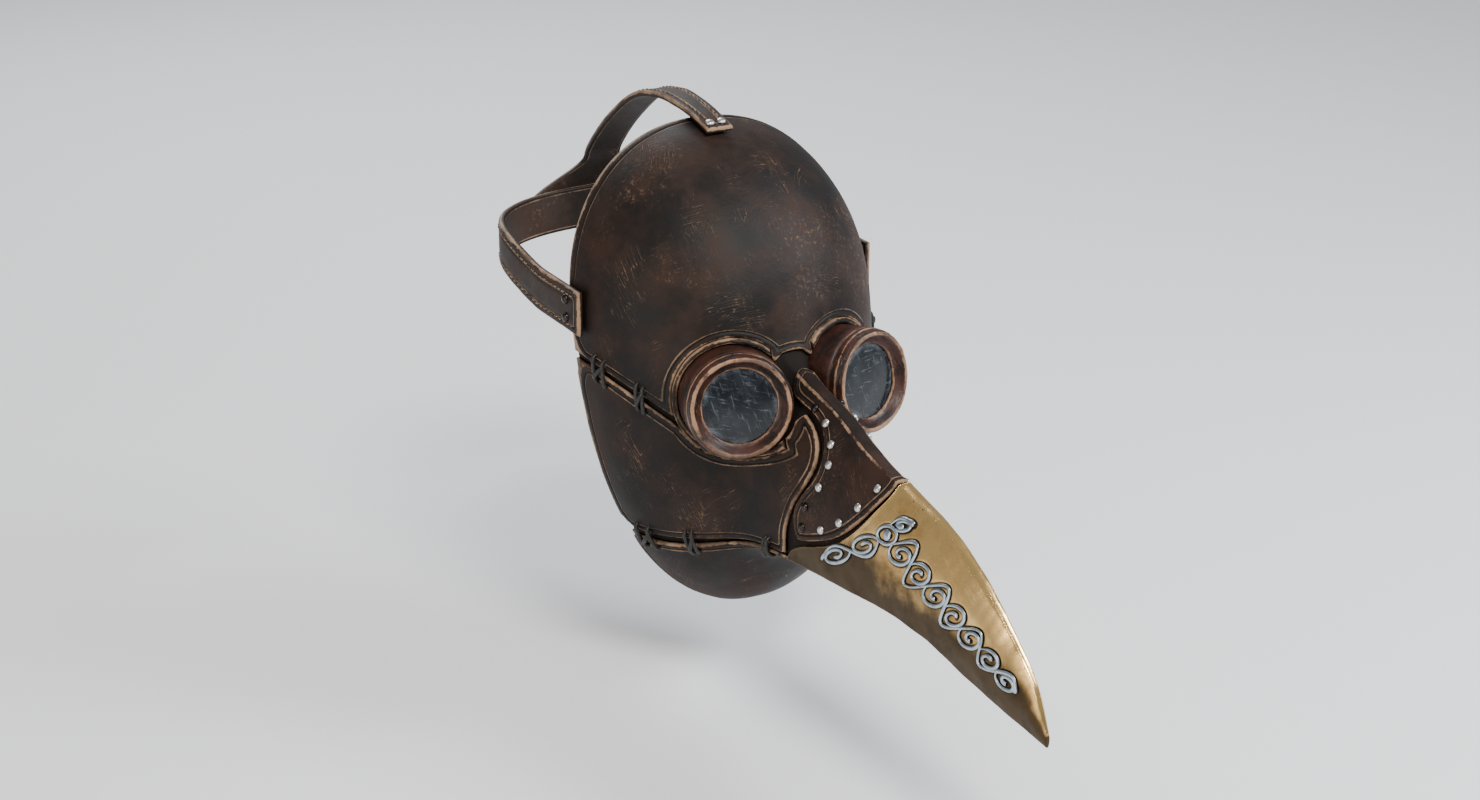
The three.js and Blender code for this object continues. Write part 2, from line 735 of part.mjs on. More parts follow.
/** Lace that bridges a seam, its ends through both panels into the mask. */
function laceShape(station, girth, side, radius) {
  const deep = LINING_UNDER - lace.tail;
  const stops = [
    [-1, deep],
    [-1, PANEL_UNDER],
    [-0.85, lace.crown * 0.55],
    [0, lace.crown],
    [0.85, lace.crown * 0.55],
    [1, PANEL_UNDER],
    [1, deep],
  ];
  const path = stops.map(([t, over]) => skin(station, side * (girth + t * lace.reach), over));
  const shape = new THREE.Shape();
  const corners = 5;
  for (let i = 0; i < corners; i++) {
    const angle = (i / corners) * 2 * Math.PI;
    const corner = [radius * Math.cos(angle), radius * Math.sin(angle)];
    if (i === 0) shape.moveTo(...corner);
    else shape.lineTo(...corner);
  }
  return new THREE.ExtrudeGeometry(shape, {
    steps: 9,
    bevelEnabled: false,
    extrudePath: new THREE.CatmullRomCurve3(path),
  });
}
for (const [name, side] of sides) {
  laceSpots.forEach(([row, station, girth], i) => {
    laces.push({
      name: `lace_${row}_${name}_${i + 1}`,
      body: laceShape(station, girth, side, lace.radius),
      hole: solid(laceShape(station, girth, side, lace.radius + clearance)),
    });
  });
}
const laceHoles = laces.map((item) => item.hole);

// ---------------------------------------------------------------- straps
/** Middle line of the head strap: straight along the temple, then round the back of the head. */
function strapBack(x) {
  const half = strapInner + strap.thickness / 2;
  const n = strap.squareness;
  return strap.bend + strap.reach * (1 - Math.min(Math.abs(x) / half, 1) ** n) ** (1 / n);
}
function strapHeight(y) {
  return strap.tabHeight + strap.backLift * smoothstep(y, 22, 80);
}
function headStrapPath() {
  const half = strapInner + strap.thickness / 2;
  const points = [];
  for (const y of [strap.tabFront, -4, 12, 30, strap.bend]) points.push([-half, y]);
  for (let i = 1; i < 12; i++) {
    const angle = (i / 12) * (Math.PI / 2);
    const x = -half * Math.cos(angle) ** (2 / strap.squareness);
    points.push([x, strapBack(x)]);
  }
  const mirrored = points.map(([x, y]) => [-x, y]).reverse();
  return [...points, [0, strapBack(0)], ...mirrored].map(([x, y]) => new THREE.Vector3(x, y, strapHeight(y)));
}
function headStrap() {
  const path = headStrapPath();
  const last = path.length - 1;
  return sheet(1, last, (a, b, face) => {
    const i = Math.round(b * last);
    const before = path[Math.max(i - 1, 0)];
    const after = path[Math.min(i + 1, last)];
    const forward = after.clone().sub(before).normalize();
    const outward = new THREE.Vector3(-forward.y, forward.x, 0).normalize();
    const up = forward.clone().cross(outward).normalize();
    const rise = up.z < 0 ? up.negate() : up;
    return path[i]
      .clone()
      .addScaledVector(rise, (a - 0.5) * strap.width)
      .addScaledVector(outward, (face - 0.5) * strap.thickness);
  });
}

const yokeGap = strap.thickness / 2 + clearance + bedding + crownStrap.thickness / 2;
/** Middle line of the crown strap, y and z, from its front end over the head down to the head strap. */
const crownLine = new THREE.SplineCurve(
  [
    [crownStrap.front, head.crown - 1.2],
    [6, head.crown + 2.6],
    [22, head.crown + 4.8],
    [42, head.crown + 5],
    [66, head.crown - 1],
    [92, head.crown - 18],
    [strapBack(0) + yokeGap - 8, head.crown - 36],
    [strapBack(0) + yokeGap, crownStrap.yokeTop + 4],
    [strapBack(0) + yokeGap, (crownStrap.yokeTop + crownStrap.yokeBottom) / 2],
    [strapBack(0) + yokeGap, crownStrap.yokeBottom],
  ].map(([y, z]) => new THREE.Vector2(y, z)),
);
/** Point of the crown strap's middle face: a across in -1 to 1, b from its front end to the yoke's lower edge. */
function crownPoint(a, b) {
  const { x: y, y: z } = crownLine.getPointAt(b);
  const behind = y > strapBack(0) / 2;
  const flare = behind ? smoothstep(crownStrap.yokeTop + 6 - z, 0, crownStrap.yokeTop - 12) : 0;
  const straight = lerp(crownStrap.frontHalf, crownStrap.backHalf, smoothstep(b, 0, 0.6));
  const half = lerp(straight, crownStrap.yokeHalf, flare);
  const x = a * half;
  const wrap = behind ? smoothstep(60 - z, 0, 30) : 0;
  return new THREE.Vector3(x, y + (strapBack(x) - strapBack(0)) * wrap, z);
}
function crownStrapShape() {
  return sheet(8, 20, (a, b, face) => {
    const across = 2 * a - 1;
    const d = 0.01;
    const b0 = clamp(b, d, 1 - d);
    const along = crownPoint(across, b0 + d).sub(crownPoint(across, b0 - d));
    const side = crownPoint(across + d, b).sub(crownPoint(across - d, b));
    const outward = side.cross(along).normalize();
    return crownPoint(across, b).addScaledVector(outward, (0.5 - face) * crownStrap.thickness);
  });
}
const crownEnd = crownLine.getPointAt(0);
const crownNext = crownLine.getPointAt(0.03).sub(crownEnd).normalize();
const crownOut = new THREE.Vector3(0, -crownNext.y, crownNext.x);
const crownGrip = crownStrap.thickness + clearance - LINING_UNDER + rivet.tail;
[-1, 1].forEach((side, i) => {
  const along = new THREE.Vector3(0, crownNext.x, crownNext.y);
  const point = new THREE.Vector3(side * crownStrap.rivetHalf, crownEnd.x, crownEnd.y)
    .addScaledVector(along, crownStrap.rivetBack)
    .addScaledVector(crownOut, crownStrap.thickness / 2);
  rivets.push({ name: `crown_rivet_${i + 1}`, grip: crownGrip, place: rivetPlace(point, crownOut), on: "crown" });
});
function holesFor(on) {
  return rivets.filter((item) => item.on === on).map((item) => rivetHole(item.grip, item.place));
}
const saddleHoles = holesFor("saddle");
const strapHoles = [...holesFor("tab"), ...holesFor("crown")];

// ---------------------------------------------------------------- assembly
const allBores = [bores.right, bores.left];
const allSockets = [sockets.right, sockets.left];

add("face_lining", cut(liningShell(), [...allBores, ...laceHoles, ...strapHoles]), "lining");
add("beak_former", cut(beakFormer(), [...allBores, ...laceHoles]), "former");
add("forehead_panel", cut(forehead(), [...allSockets, ...laceHoles, ...strapHoles]), "leather");
for (const [name, side] of sides) {
  add(`cheek_panel_${name}`, cut(cheek(side), [sockets[name], ...laceHoles]), "leather");
}
add("chin_panel", cut(chin(), laceHoles), "leather");
add("beak_saddle", cut(saddle(), [...allBores, ...saddleHoles]), "leather");
add("beak_tip", brassTip(), "brass");

const inside = solid(cavity());
for (const [name, hand] of sides) {
  const { matrix } = eyes[name];
  const cup = revolved(
    [
      [cupBore, EYE_DEEP],
      [eye.cupRadius, EYE_DEEP],
      [eye.cupRadius, CUP_TOP],
      [cupBore, CUP_TOP],
    ],
    EYE_SEGMENTS,
  );
  add(`eye_cup_${name}`, geometryOf(solid(cup, matrix).subtract(inside)), "bezel");

  const collarRing = solid(
    revolved(
      [
        [collarInner, EYE_DEEP],
        [collarOuter, EYE_DEEP],
        [collarOuter, EYE_FRONT],
        [collarInner, EYE_FRONT],
      ],
      EYE_SEGMENTS,
    ),
    matrix,
  );
  const collarLayer = sheet(14, 12, (a, b, face) =>
    skin(lerp(-0.15, 0.85, a), hand * lerp(0.05, 0.75, b), face ? eye.flangeRise : PANEL_UNDER),
  );
  const nose = solid(noseBlock.clone().translate(-2 * clearance, 0, 0), matrix);
  add(`eye_collar_${name}`, geometryOf(solid(collarLayer).intersect(collarRing).subtract(nose)), "leather");

  const side = eye.cupRadius - eye.bezelInset;
  const crest = eye.cupRadius - eye.crestInset;
  const foot = -eye.bezelHeight;
  const bezelProfile = [
    [spigotRadius, foot],
    [spigotRadius, foot - eye.spigot],
    [lensSeat, foot - eye.spigot],
    [lensSeat, -eye.lip],
    [sightRadius, -eye.lip],
    [sightRadius, 1 - eye.lip],
    [sightRadius + 1.4, 2 - eye.lip],
    [crest - 1.6, -0.5],
    [crest, 0],
    [crest + 1.2, -1.2],
    [side, -eye.bevel],
    [side, foot],
  ];
  const glassTop = -eye.lip - clearance;
  const glassProfile = [
    [0, glassTop - eye.glass],
    [lensRadius, glassTop - eye.glass],
    [lensRadius, glassTop],
    [0, glassTop],
  ];
  const gasketTop = glassTop - eye.glass - clearance;
  const gasketProfile = [
    [lensRadius - eye.gasketWidth, gasketTop],
    [lensRadius - eye.gasketWidth, gasketTop - eye.gasket],
    [lensRadius, gasketTop - eye.gasket],
    [lensRadius, gasketTop],
  ];
  const turned = [
    [`eye_bezel_${name}`, bezelProfile, "bezel"],
    [`eye_lens_${name}`, glassProfile, "glass"],
    [`lens_gasket_${name}`, gasketProfile, "rubber"],
  ];
  for (const [part, profile, finish] of turned) {
    const mesh = add(part, revolved(profile, EYE_SEGMENTS), finish);
    mesh.applyMatrix4(matrix);
  }
}

add("head_strap", cut(headStrap(), holesFor("tab")), "strap");
add("crown_strap", cut(crownStrapShape(), holesFor("crown")), "strap");
for (const { name, grip, place, on } of rivets) {
  const mesh = add(name, rivetShape(grip), on === "tab" ? "darkSteel" : "pewter");
  mesh.applyMatrix4(place);
}
for (const { name, body } of laces) add(name, body, "cord");

export default mask;
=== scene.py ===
"""Plague doctor mask: the visual model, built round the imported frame.

Sizes are millimetres in the row's frame: +Z up, the beak along -Y, +X the wearer's left. A mesh is written in
metres at the very end. A place on the leather skin is (station, girth): station 1 is the rim, 0 the root of the
beak and -1 each 100 mm along it; girth 0 is the ridge and crown, +1 or -1 the keel and chin.
"""
import logging
import math
from dataclasses import dataclass, field
from enum import Enum
from typing import Callable, Optional, Sequence

import bpy
import numpy as np
from mathutils import Matrix, Vector, kdtree


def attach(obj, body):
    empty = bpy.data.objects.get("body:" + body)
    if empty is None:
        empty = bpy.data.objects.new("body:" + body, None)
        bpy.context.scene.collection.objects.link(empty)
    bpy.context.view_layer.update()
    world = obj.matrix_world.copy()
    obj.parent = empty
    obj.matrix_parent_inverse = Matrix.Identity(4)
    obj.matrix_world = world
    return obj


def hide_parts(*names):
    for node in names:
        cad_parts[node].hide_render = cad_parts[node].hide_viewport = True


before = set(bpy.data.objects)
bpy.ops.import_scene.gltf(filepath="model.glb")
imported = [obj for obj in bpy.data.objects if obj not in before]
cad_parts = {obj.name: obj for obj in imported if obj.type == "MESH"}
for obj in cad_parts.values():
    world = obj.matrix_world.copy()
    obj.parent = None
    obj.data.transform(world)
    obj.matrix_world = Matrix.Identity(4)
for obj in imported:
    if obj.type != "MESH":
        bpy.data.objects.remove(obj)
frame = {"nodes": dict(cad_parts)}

log = logging.getLogger("plague_mask")

Array = np.ndarray
Socket = bpy.types.NodeSocket
MM = 0.001
BODY = "mask"


class Side(Enum):
    """The wearer's right or left, with the sign of X on that side."""

    RIGHT = -1
    LEFT = 1

    @property
    def label(self) -> str:
        """Name used in the CAD nodes."""
        return self.name.lower()


class Seam(Enum):
    """The laced seams, by the girth that they run along."""

    UPPER = 0.49
    LOWER = 0.77


# ---------------------------------------------------------------- numbers and curves
def smoothstep(low: float, high: float, x: Array) -> Array:
    """Smooth step from 0 at low to 1 at high."""
    t = np.clip((np.asarray(x, float) - low) / (high - low), 0, 1)
    return t * t * (3 - 2 * t)


def unit(v: Array) -> Array:
    """Vectors scaled to length one along the last axis."""
    return v / np.maximum(np.linalg.norm(v, axis=-1, keepdims=True), 1e-12)


def ripple(points: Array, wavelength: float, seed: int) -> Array:
    """Soft random relief between about -1 and 1.

    Args:
        points: places in millimetres.
        wavelength: size of its waves in millimetres.
        seed: which relief.

    Returns:
        One value for each place.
    """
    rng = np.random.default_rng(seed)
    total = np.zeros(points.shape[:-1])
    waves = 9
    for _ in range(waves):
        direction = unit(rng.normal(size=3)) * 2 * math.pi / (wavelength * rng.uniform(0.7, 1.6))
        total += np.sin(points @ direction + rng.uniform(0, 2 * math.pi))
    return total / math.sqrt(waves)


def spline(points: Sequence[Sequence[float]], steps: int = 12) -> Array:
    """Dense Catmull-Rom curve through a few points.

    Args:
        points: rows of coordinates.
        steps: pieces between two points.

    Returns:
        The rows of the dense curve.
    """
    p = np.array(points, float)
    padded = np.vstack([p[:1], p, p[-1:]])
    t = np.linspace(0, 1, steps, endpoint=False)[:, None]
    rows = []
    for i in range(len(p) - 1):
        a, b, c, d = padded[i : i + 4]
        v0, v1 = (c - a) / 2, (d - b) / 2
        rows.append((2 * b - 2 * c + v0 + v1) * t**3 + (3 * c - 3 * b - 2 * v0 - v1) * t**2 + v0 * t + b)
    return np.vstack([*rows, p[-1:]])


def even(line: Array, gap: float) -> Array:
    """A line's points moved so that they lie a gap apart along it."""
    run = np.concatenate([[0], np.cumsum(np.linalg.norm(np.diff(line, axis=0), axis=1))])
    at = np.linspace(0, run[-1], max(int(round(run[-1] / gap)), 2) + 1)
    return np.stack([np.interp(at, run, line[:, k]) for k in range(line.shape[1])], axis=1)


class Track:
    """Smooth monotone curves through rows of x and its values."""

    def __init__(self, rows: Sequence[Sequence[float]]) -> None:
        """Keeps the rows and works out the slope at each."""
        table = np.array(rows, float)
        self.x, self.y = table[:, 0], table[:, 1:]
        steps = np.diff(self.y, axis=0) / np.diff(self.x)[:, None]
        self.slope = np.zeros_like(self.y)
        self.slope[0], self.slope[-1] = steps[0], steps[-1]
        product, total = steps[:-1] * steps[1:], steps[:-1] + steps[1:]
        self.slope[1:-1] = np.where(product > 0, 2 * product / np.where(total == 0, 1, total), 0)

    def __call__(self, x: Array) -> Array:
        """Values at x, along a new last axis."""
        at = np.clip(np.asarray(x, float), self.x[0], self.x[-1])
        i = np.clip(np.searchsorted(self.x, at) - 1, 0, len(self.x) - 2)
        span = self.x[i + 1] - self.x[i]
        t, span = ((at - self.x[i]) / span)[..., None], span[..., None]
        blend = self.y[i] * (1 + 2 * t) * (1 - t) ** 2 + self.y[i + 1] * t * t * (3 - 2 * t)
        return blend + span * t * (1 - t) * (self.slope[i] * (1 - t) - self.slope[i + 1] * t)


# ---------------------------------------------------------------- the leather skin
@dataclass(frozen=True)
class Skin:
    """The outer skin that every panel is a patch of, as in the CAD model."""

    half_width: float = 78.0
    crown: float = 86.0
    chin: float = 150.0
    depth: float = 77.0
    lean: float = 0.2
    squareness: float = 2.2
    root: float = 85.0
    length: float = 214.0
    neck: float = 95.0
    bulge: float = 0.1
    ridge_fillet: float = 8.0
    side_fillet: float = 11.0
    step: float = 100.0
    ridge_girth: float = 0.06
    edge_girth: float = 0.78
    crease_round: float = 0.04
    # Share of the beak's length, ridge height, lower edge height, half width, half ridge strip, keel drop.
    sections: Track = field(default_factory=lambda: Track([
        (0, -13, -99, 20.5, 4.2, 6),
        (0.164, -19, -96, 19.6, 3.8, 5.5),
        (0.327, -31, -94, 17.4, 3.5, 5),
        (0.481, -38, -93, 14.4, 3.1, 4.5),
        (0.607, -44, -95, 11.8, 2.7, 4),
        (0.748, -57, -103, 8, 2.2, 3),
        (0.864, -74, -109, 4.8, 1.7, 2),
        (0.949, -90, -113, 2.2, 1.2, 1),
        (1, -109, -115.5, 0.8, 0.6, 0.4),
    ]))
    rim_angles: Track = field(default_factory=lambda: Track([
        (0, 0), (0.06, 0.3), (0.2, 0.95), (0.42, 1.6), (0.62, 2.15), (0.78, 2.66), (1, math.pi),
    ]))

    def section(self, girth: Array, forward: Array) -> tuple[Array, Array]:
        """Half section of the beak.

        Args:
            girth: 0 on the ridge to 1 on the keel.
            forward: distance in front of the origin.

        Returns:
            x and z.
        """
        rows = self.sections((np.asarray(forward, float) - self.root) / self.length)
        ridge, edge, half, strip, keel = np.moveaxis(rows, -1, 0)
        top = np.clip(girth / self.ridge_girth, 0, 1)
        t = np.clip((girth - self.ridge_girth) / (self.edge_girth - self.ridge_girth), 0, 1)
        dx, dz = half - strip, edge - ridge
        swell = self.bulge * 4 * t * (1 - t) * (1 - 0.35 * (t - 0.5))
        low = np.clip((1 - girth) / (1 - self.edge_girth), 0, 1)
        on_top, on_side = girth < self.ridge_girth, girth < self.edge_girth
        x = np.where(on_top, strip * top, np.where(on_side, strip + dx * t - swell * dz, half * low))
        z = np.where(
            on_top,
            ridge + 0.25 * strip * (1 - top * top),
            np.where(on_side, ridge + dz * t + swell * dx, edge - keel * (1 - low * low)),
        )
        return x, z

    def rim(self, angle: Array) -> tuple[Array, Array]:
        """x and z of the opening's rim at an angle from the crown."""
        c, s, n = np.cos(angle), np.sin(angle), self.squareness
        height = np.where(c >= 0, self.crown, self.chin)
        r = (np.abs(s / self.half_width) ** n + np.abs(c / height) ** n) ** (-1 / n)
        return r * s, r * c

    def face_depth(self, x: Array, z: Array) -> Array:
        """Depth of the bare face in front of the rim plane."""
        n = self.squareness
        height = np.where(np.asarray(z) >= 0, self.crown, self.chin)
        rho = (np.abs(x / self.half_width) ** n + np.abs(z / height) ** n) ** (1 / n)
        return self.depth * np.sqrt(np.maximum(1 - np.minimum(rho, 1) ** 2, 0))

    def ray(self, girth: Array) -> tuple[Array, Array, Array, Array, Array]:
        """Line on which a girth crosses the face: its start, its direction and its length."""
        ox, oz = self.section(girth, np.full(np.shape(girth), self.neck))
        rx, rz = self.rim(self.rim_angles(girth)[..., 0])
        length = np.hypot(rx - ox, rz - oz)
        return ox, oz, (rx - ox) / length, (rz - oz) / length, length

    def _upright(self, station: Array, girth: Array) -> Array:
        """x, forward and z before the skin leans."""
        wrapped = (girth + 1) % 2 - 1
        side, g = np.where(wrapped < 0, -1.0, 1.0), np.abs(wrapped)
        ox, oz, ux, uz, length = self.ray(g)
        travel = station * np.where(station > 0, length, self.step)
        fillet = self.ridge_fillet + (self.side_fillet - self.ridge_fillet) * np.sin(math.pi * g) ** 2
        soft = fillet * np.log1p(np.exp(-np.abs(travel) / fillet))
        outward = np.minimum(np.maximum(travel, 0) + soft, length)
        onward = np.maximum(-travel, 0) + soft
        onward = np.where(station >= 1, 0, onward * np.minimum(1, 4 * (1 - station)))
        x, z = ox + outward * ux, oz + outward * uz
        forward = np.where(station >= 1, 0, self.face_depth(x, z)) + onward
        frontal = forward - self.lean * z
        bx, bz = self.section(g, np.maximum(frontal, self.neck))
        z = z + bz - oz
        return np.stack([side * (x + bx - ox), frontal + self.lean * z, z], axis=-1)

    def at(self, station: Array, girth: Array, over: Array = 0.0) -> Array:
        """Points at a height over the skin.

        Args:
            station: where along it.
            girth: where round it.
            over: height outwards.

        Returns:
            Points in the mask's frame.
        """
        station, girth, over = np.broadcast_arrays(
            np.asarray(station, float), np.asarray(girth, float), np.asarray(over, float)
        )
        p = self._upright(station, girth)
        d = 1e-3
        middle = np.minimum(station, 1 - d)
        ahead = np.where(station >= 1, 0.5 * d, d)
        along = self._upright(middle + ahead, girth) - self._upright(middle - d, girth)
        spread = self.crease_round
        around = self._upright(station, girth + spread) - self._upright(station, girth - spread)
        normal = np.cross(around, along)
        normal[..., 1] = np.where(station >= 1, 0, normal[..., 1])
        p = p - unit(normal) * over[..., None]
        return np.stack([p[..., 0], -p[..., 1] + self.lean * p[..., 2], p[..., 2]], axis=-1)

    def normal(self, station: Array, girth: Array) -> Array:
        """Outward direction of the skin."""
        return unit(self.at(station, girth, 1.0) - self.at(station, girth, 0.0))

    def station_at(self, forward: Array, girth: Array) -> Array:
        """Station at which a girth of the beak is a distance forward of the origin."""
        ox, oz, *_ = self.ray(np.abs((np.asarray(girth, float) + 1) % 2 - 1))
        return -(forward - self.face_depth(ox, oz) + self.lean * oz) / self.step


SKIN = Skin()


@dataclass(frozen=True)
class Drawing:
    """A flat drawing that is wrapped onto the skin along a fixed direction."""

    origin: Array
    right: Array
    up: Array
    stations: tuple[float, float]
    girths: tuple[float, float]

    def flat(self, points: Array) -> Array:
        """The drawing's two coordinates of points in space."""
        offset = points - self.origin
        return np.stack([offset @ self.right, offset @ self.up], axis=-1)

    def locate(self, flat: Array) -> tuple[Array, Array]:
        """Station and girth of the skin under points of the drawing.

        Args:
            flat: rows of the drawing's two coordinates.

        Returns:
            Their stations and girths.
        """
        s, g = np.meshgrid(np.linspace(*self.stations, 90), np.linspace(*self.girths, 70), indexing="ij")
        grid = self.flat(SKIN.at(s, g)).reshape(-1, 2)
        nearest = np.argmin(((flat[:, None, :] - grid[None]) ** 2).sum(-1), axis=1)
        station, girth = s.reshape(-1)[nearest].copy(), g.reshape(-1)[nearest].copy()
        d = 1e-3
        for _ in range(14):
            here = self.flat(SKIN.at(station, girth))
            by_s = (self.flat(SKIN.at(station + d, girth)) - here) / d
            by_g = (self.flat(SKIN.at(station, girth + d)) - here) / d
            miss = flat - here
            det = by_s[:, 0] * by_g[:, 1] - by_s[:, 1] * by_g[:, 0]
            det = np.where(np.abs(det) < 1.0, np.sign(det) + (det == 0), det)
            ds = (miss[:, 0] * by_g[:, 1] - miss[:, 1] * by_g[:, 0]) / det
            dg = (miss[:, 1] * by_s[:, 0] - miss[:, 0] * by_s[:, 1]) / det
            station = np.clip(station + np.clip(ds, -0.05, 0.05), *sorted(self.stations))
            girth = np.clip(girth + np.clip(dg, -0.03, 0.03), *sorted(self.girths))
        return station, girth


# ---------------------------------------------------------------- meshes
@dataclass
class Shape:
    """Points in millimetres, faces, and a value at each point for each attribute."""

    points: Array
    faces: list[Sequence[int]]
    attributes: dict[str, Array] = field(default_factory=dict)

    def join(self, other: "Shape") -> "Shape":
        """This shape and another as one."""
        shift = len(self.points)
        names = set(self.attributes) & set(other.attributes)
        return Shape(
            np.vstack([self.points, other.points]),
            list(self.faces) + [[i + shift for i in f] for f in other.faces],
            {n: np.concatenate([self.attributes[n], other.attributes[n]]) for n in names},
        )

    def mesh(self, name: str, merge: float = 0.0) -> bpy.types.Object:
        """Blender object of the shape.

        Args:
            name: the piece's name.
            merge: points closer than this, in millimetres, become one.

        Returns:
            The object, in the scene.
        """
        data = bpy.data.meshes.new(name)
        data.from_pydata((self.points * MM).tolist(), [], [list(f) for f in self.faces])
        for key, values in self.attributes.items():
            attribute = data.attributes.new(key, "FLOAT", "POINT")
            attribute.data.foreach_set("value", np.asarray(values, np.float32))
        data.update()
        obj = bpy.data.objects.new(name, data)
        bpy.context.scene.collection.objects.link(obj)
        self._clean(data, merge)
        return obj

    @staticmethod
    def _clean(data: bpy.types.Mesh, merge: float) -> None:
        """Merges close points, turns the faces outwards and shades them smooth."""
        import bmesh

        bm = bmesh.new()
        bm.from_mesh(data)
        if merge:
            bmesh.ops.remove_doubles(bm, verts=bm.verts, dist=merge * MM)
        bmesh.ops.recalc_face_normals(bm, faces=bm.faces)
        if bm.calc_volume(signed=True) < 0:
            bmesh.ops.reverse_faces(bm, faces=bm.faces)
        bm.to_mesh(data)
        bm.free()
        data.shade_smooth()


def grid_faces(rows: int, columns: int, loop: bool = False, start: int = 0) -> list[list[int]]:
    """Quads of a grid of points, row by row, closed round the columns if it is a loop."""
    last = columns if loop else columns - 1
    return [
        [start + j * columns + i, start + j * columns + (i + 1) % columns,
         start + (j + 1) * columns + (i + 1) % columns, start + (j + 1) * columns + i]
        for j in range(rows - 1)
        for i in range(last)
    ]


def finish_piece(obj: bpy.types.Object, material: bpy.types.Material, body: str = BODY,
                 replaces: Sequence[str] = ()) -> bpy.types.Object:
    """Dresses a piece and ties it to the frame.

    Args:
        obj: the piece.
        material: its material.
        body: the body that it rides on.
        replaces: CAD nodes that it stands for.

    Returns:
        The piece.
    """
    if len(replaces) == 1:
        obj.name = f"{replaces[0]}_fine"
    obj.data.materials.clear()
    obj.data.materials.append(material)
    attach(obj, body)
    if replaces:
        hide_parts(*replaces)
    log.info("%s: %d faces on %s", obj.name, len(obj.data.polygons), body)
    return obj


class FieldCutter:
    """Cuts a polygon mesh in (station, girth) along levels of a distance field."""

    def __init__(self, places: Array, distance: Array, faces: list[Sequence[int]]) -> None:
        """Starts from a grid and the distance at each of its places."""
        self.places = [tuple(p) for p in places]
        self.distance = list(distance)
        self.faces = [list(f) for f in faces]

    def cut(self, level: float, keep_low: bool = True) -> None:
        """Splits the faces along a level of the distance.

        Args:
            level: the distance to cut at.
            keep_low: whether the part nearer than the level stays.
        """
        made: dict[tuple[int, int], int] = {}
        result = []
        snap = 0.04
        for index, value in enumerate(self.distance):
            if abs(value - level) < snap:
                self.distance[index] = level
        for face in self.faces:
            values = [self.distance[i] for i in face]
            if min(values) >= level:
                result.append(face)
                continue
            if max(values) <= level:
                if keep_low:
                    result.append(face)
                continue
            low, high = [], []
            for k, i in enumerate(face):
                j = face[(k + 1) % len(face)]
                a, b = values[k], values[(k + 1) % len(face)]
                if a >= level:
                    high.append(i)
                if a <= level:
                    low.append(i)
                if (a < level < b) or (b < level < a):
                    key = (min(i, j), max(i, j))
                    if key not in made:
                        t = (level - a) / (b - a)
                        p, q = self.places[i], self.places[j]
                        made[key] = len(self.places)
                        self.places.append(tuple(p[n] + (q[n] - p[n]) * t for n in range(2)))
                        self.distance.append(level)
                    high.append(made[key])
                    low.append(made[key])
            if len(high) > 2:
                result.append(high)
            if keep_low and len(low) > 2:
                result.append(low)
        self.faces = result

    def result(self) -> tuple[Array, Array, list[list[int]]]:
        """Places, distances and faces that are still used."""
        used = sorted({i for f in self.faces for i in f})
        renumber = {old: new for new, old in enumerate(used)}
        faces = [[renumber[i] for i in f] for f in self.faces]
        return np.array([self.places[i] for i in used]), np.array([self.distance[i] for i in used]), faces


# What an attribute gains on the underside of a sheet, so that wear stays on its upper edge and the painted shade marked
# by outer stays on the top face.
UNDERSIDE = {"edge": 2.4, "outer": -1.0}


def doubled(top: Array, bottom: Array, faces: list[list[int]], attributes: dict[str, Array]) -> Shape:
    """Closed sheet between a top and a bottom that share their faces.

    Args:
        top: points of the top.
        bottom: points of the bottom.
        faces: faces of the top.
        attributes: values at the top's points, which the bottom shares.

    Returns:
        The closed shape.
    """
    count = len(top)
    edges: dict[tuple[int, int], int] = {}
    for f in faces:
        for k, i in enumerate(f):
            edges[(i, f[(k + 1) % len(f)])] = 1
    walls = [[j, i, i + count, j + count] for i, j in edges if (j, i) not in edges]
    under = [[i + count for i in reversed(f)] for f in faces]
    both = {key: np.concatenate([value, value + UNDERSIDE.get(key, 0.0)]) for key, value in attributes.items()}
    return Shape(np.vstack([top, bottom]), list(faces) + walls + under, both)


def line_distance(points: Array, line: Array, closed: bool = True) -> Array:
    """Distance of points in space from a polyline."""
    a = line
    b = np.roll(line, -1, axis=0) if closed else line[1:]
    a = a if closed else line[:-1]
    span = b - a
    length2 = np.maximum((span**2).sum(-1), 1e-12)
    best = np.full(len(points), np.inf)
    chunk = 1500
    for start in range(0, len(points), chunk):
        p = points[start : start + chunk]
        t = np.clip(((p @ span.T) - (a * span).sum(-1)) / length2, 0, 1)
        near = a[None] + t[..., None] * span[None]
        best[start : start + chunk] = np.sqrt(((p[:, None] - near) ** 2).sum(-1)).min(1)
    return best


def inside(places: Array, outline: Array) -> Array:
    """Whether flat places lie inside a closed outline."""
    x, y = places[:, 0], places[:, 1]
    result = np.zeros(len(places), bool)
    before = outline[-1]
    for after in outline:
        crosses = (after[1] > y) != (before[1] > y)
        slope = (before[0] - after[0]) / (before[1] - after[1]) if before[1] != after[1] else 0.0
        result ^= crosses & (x < slope * (y - after[1]) + after[0])
        before = after
    return result


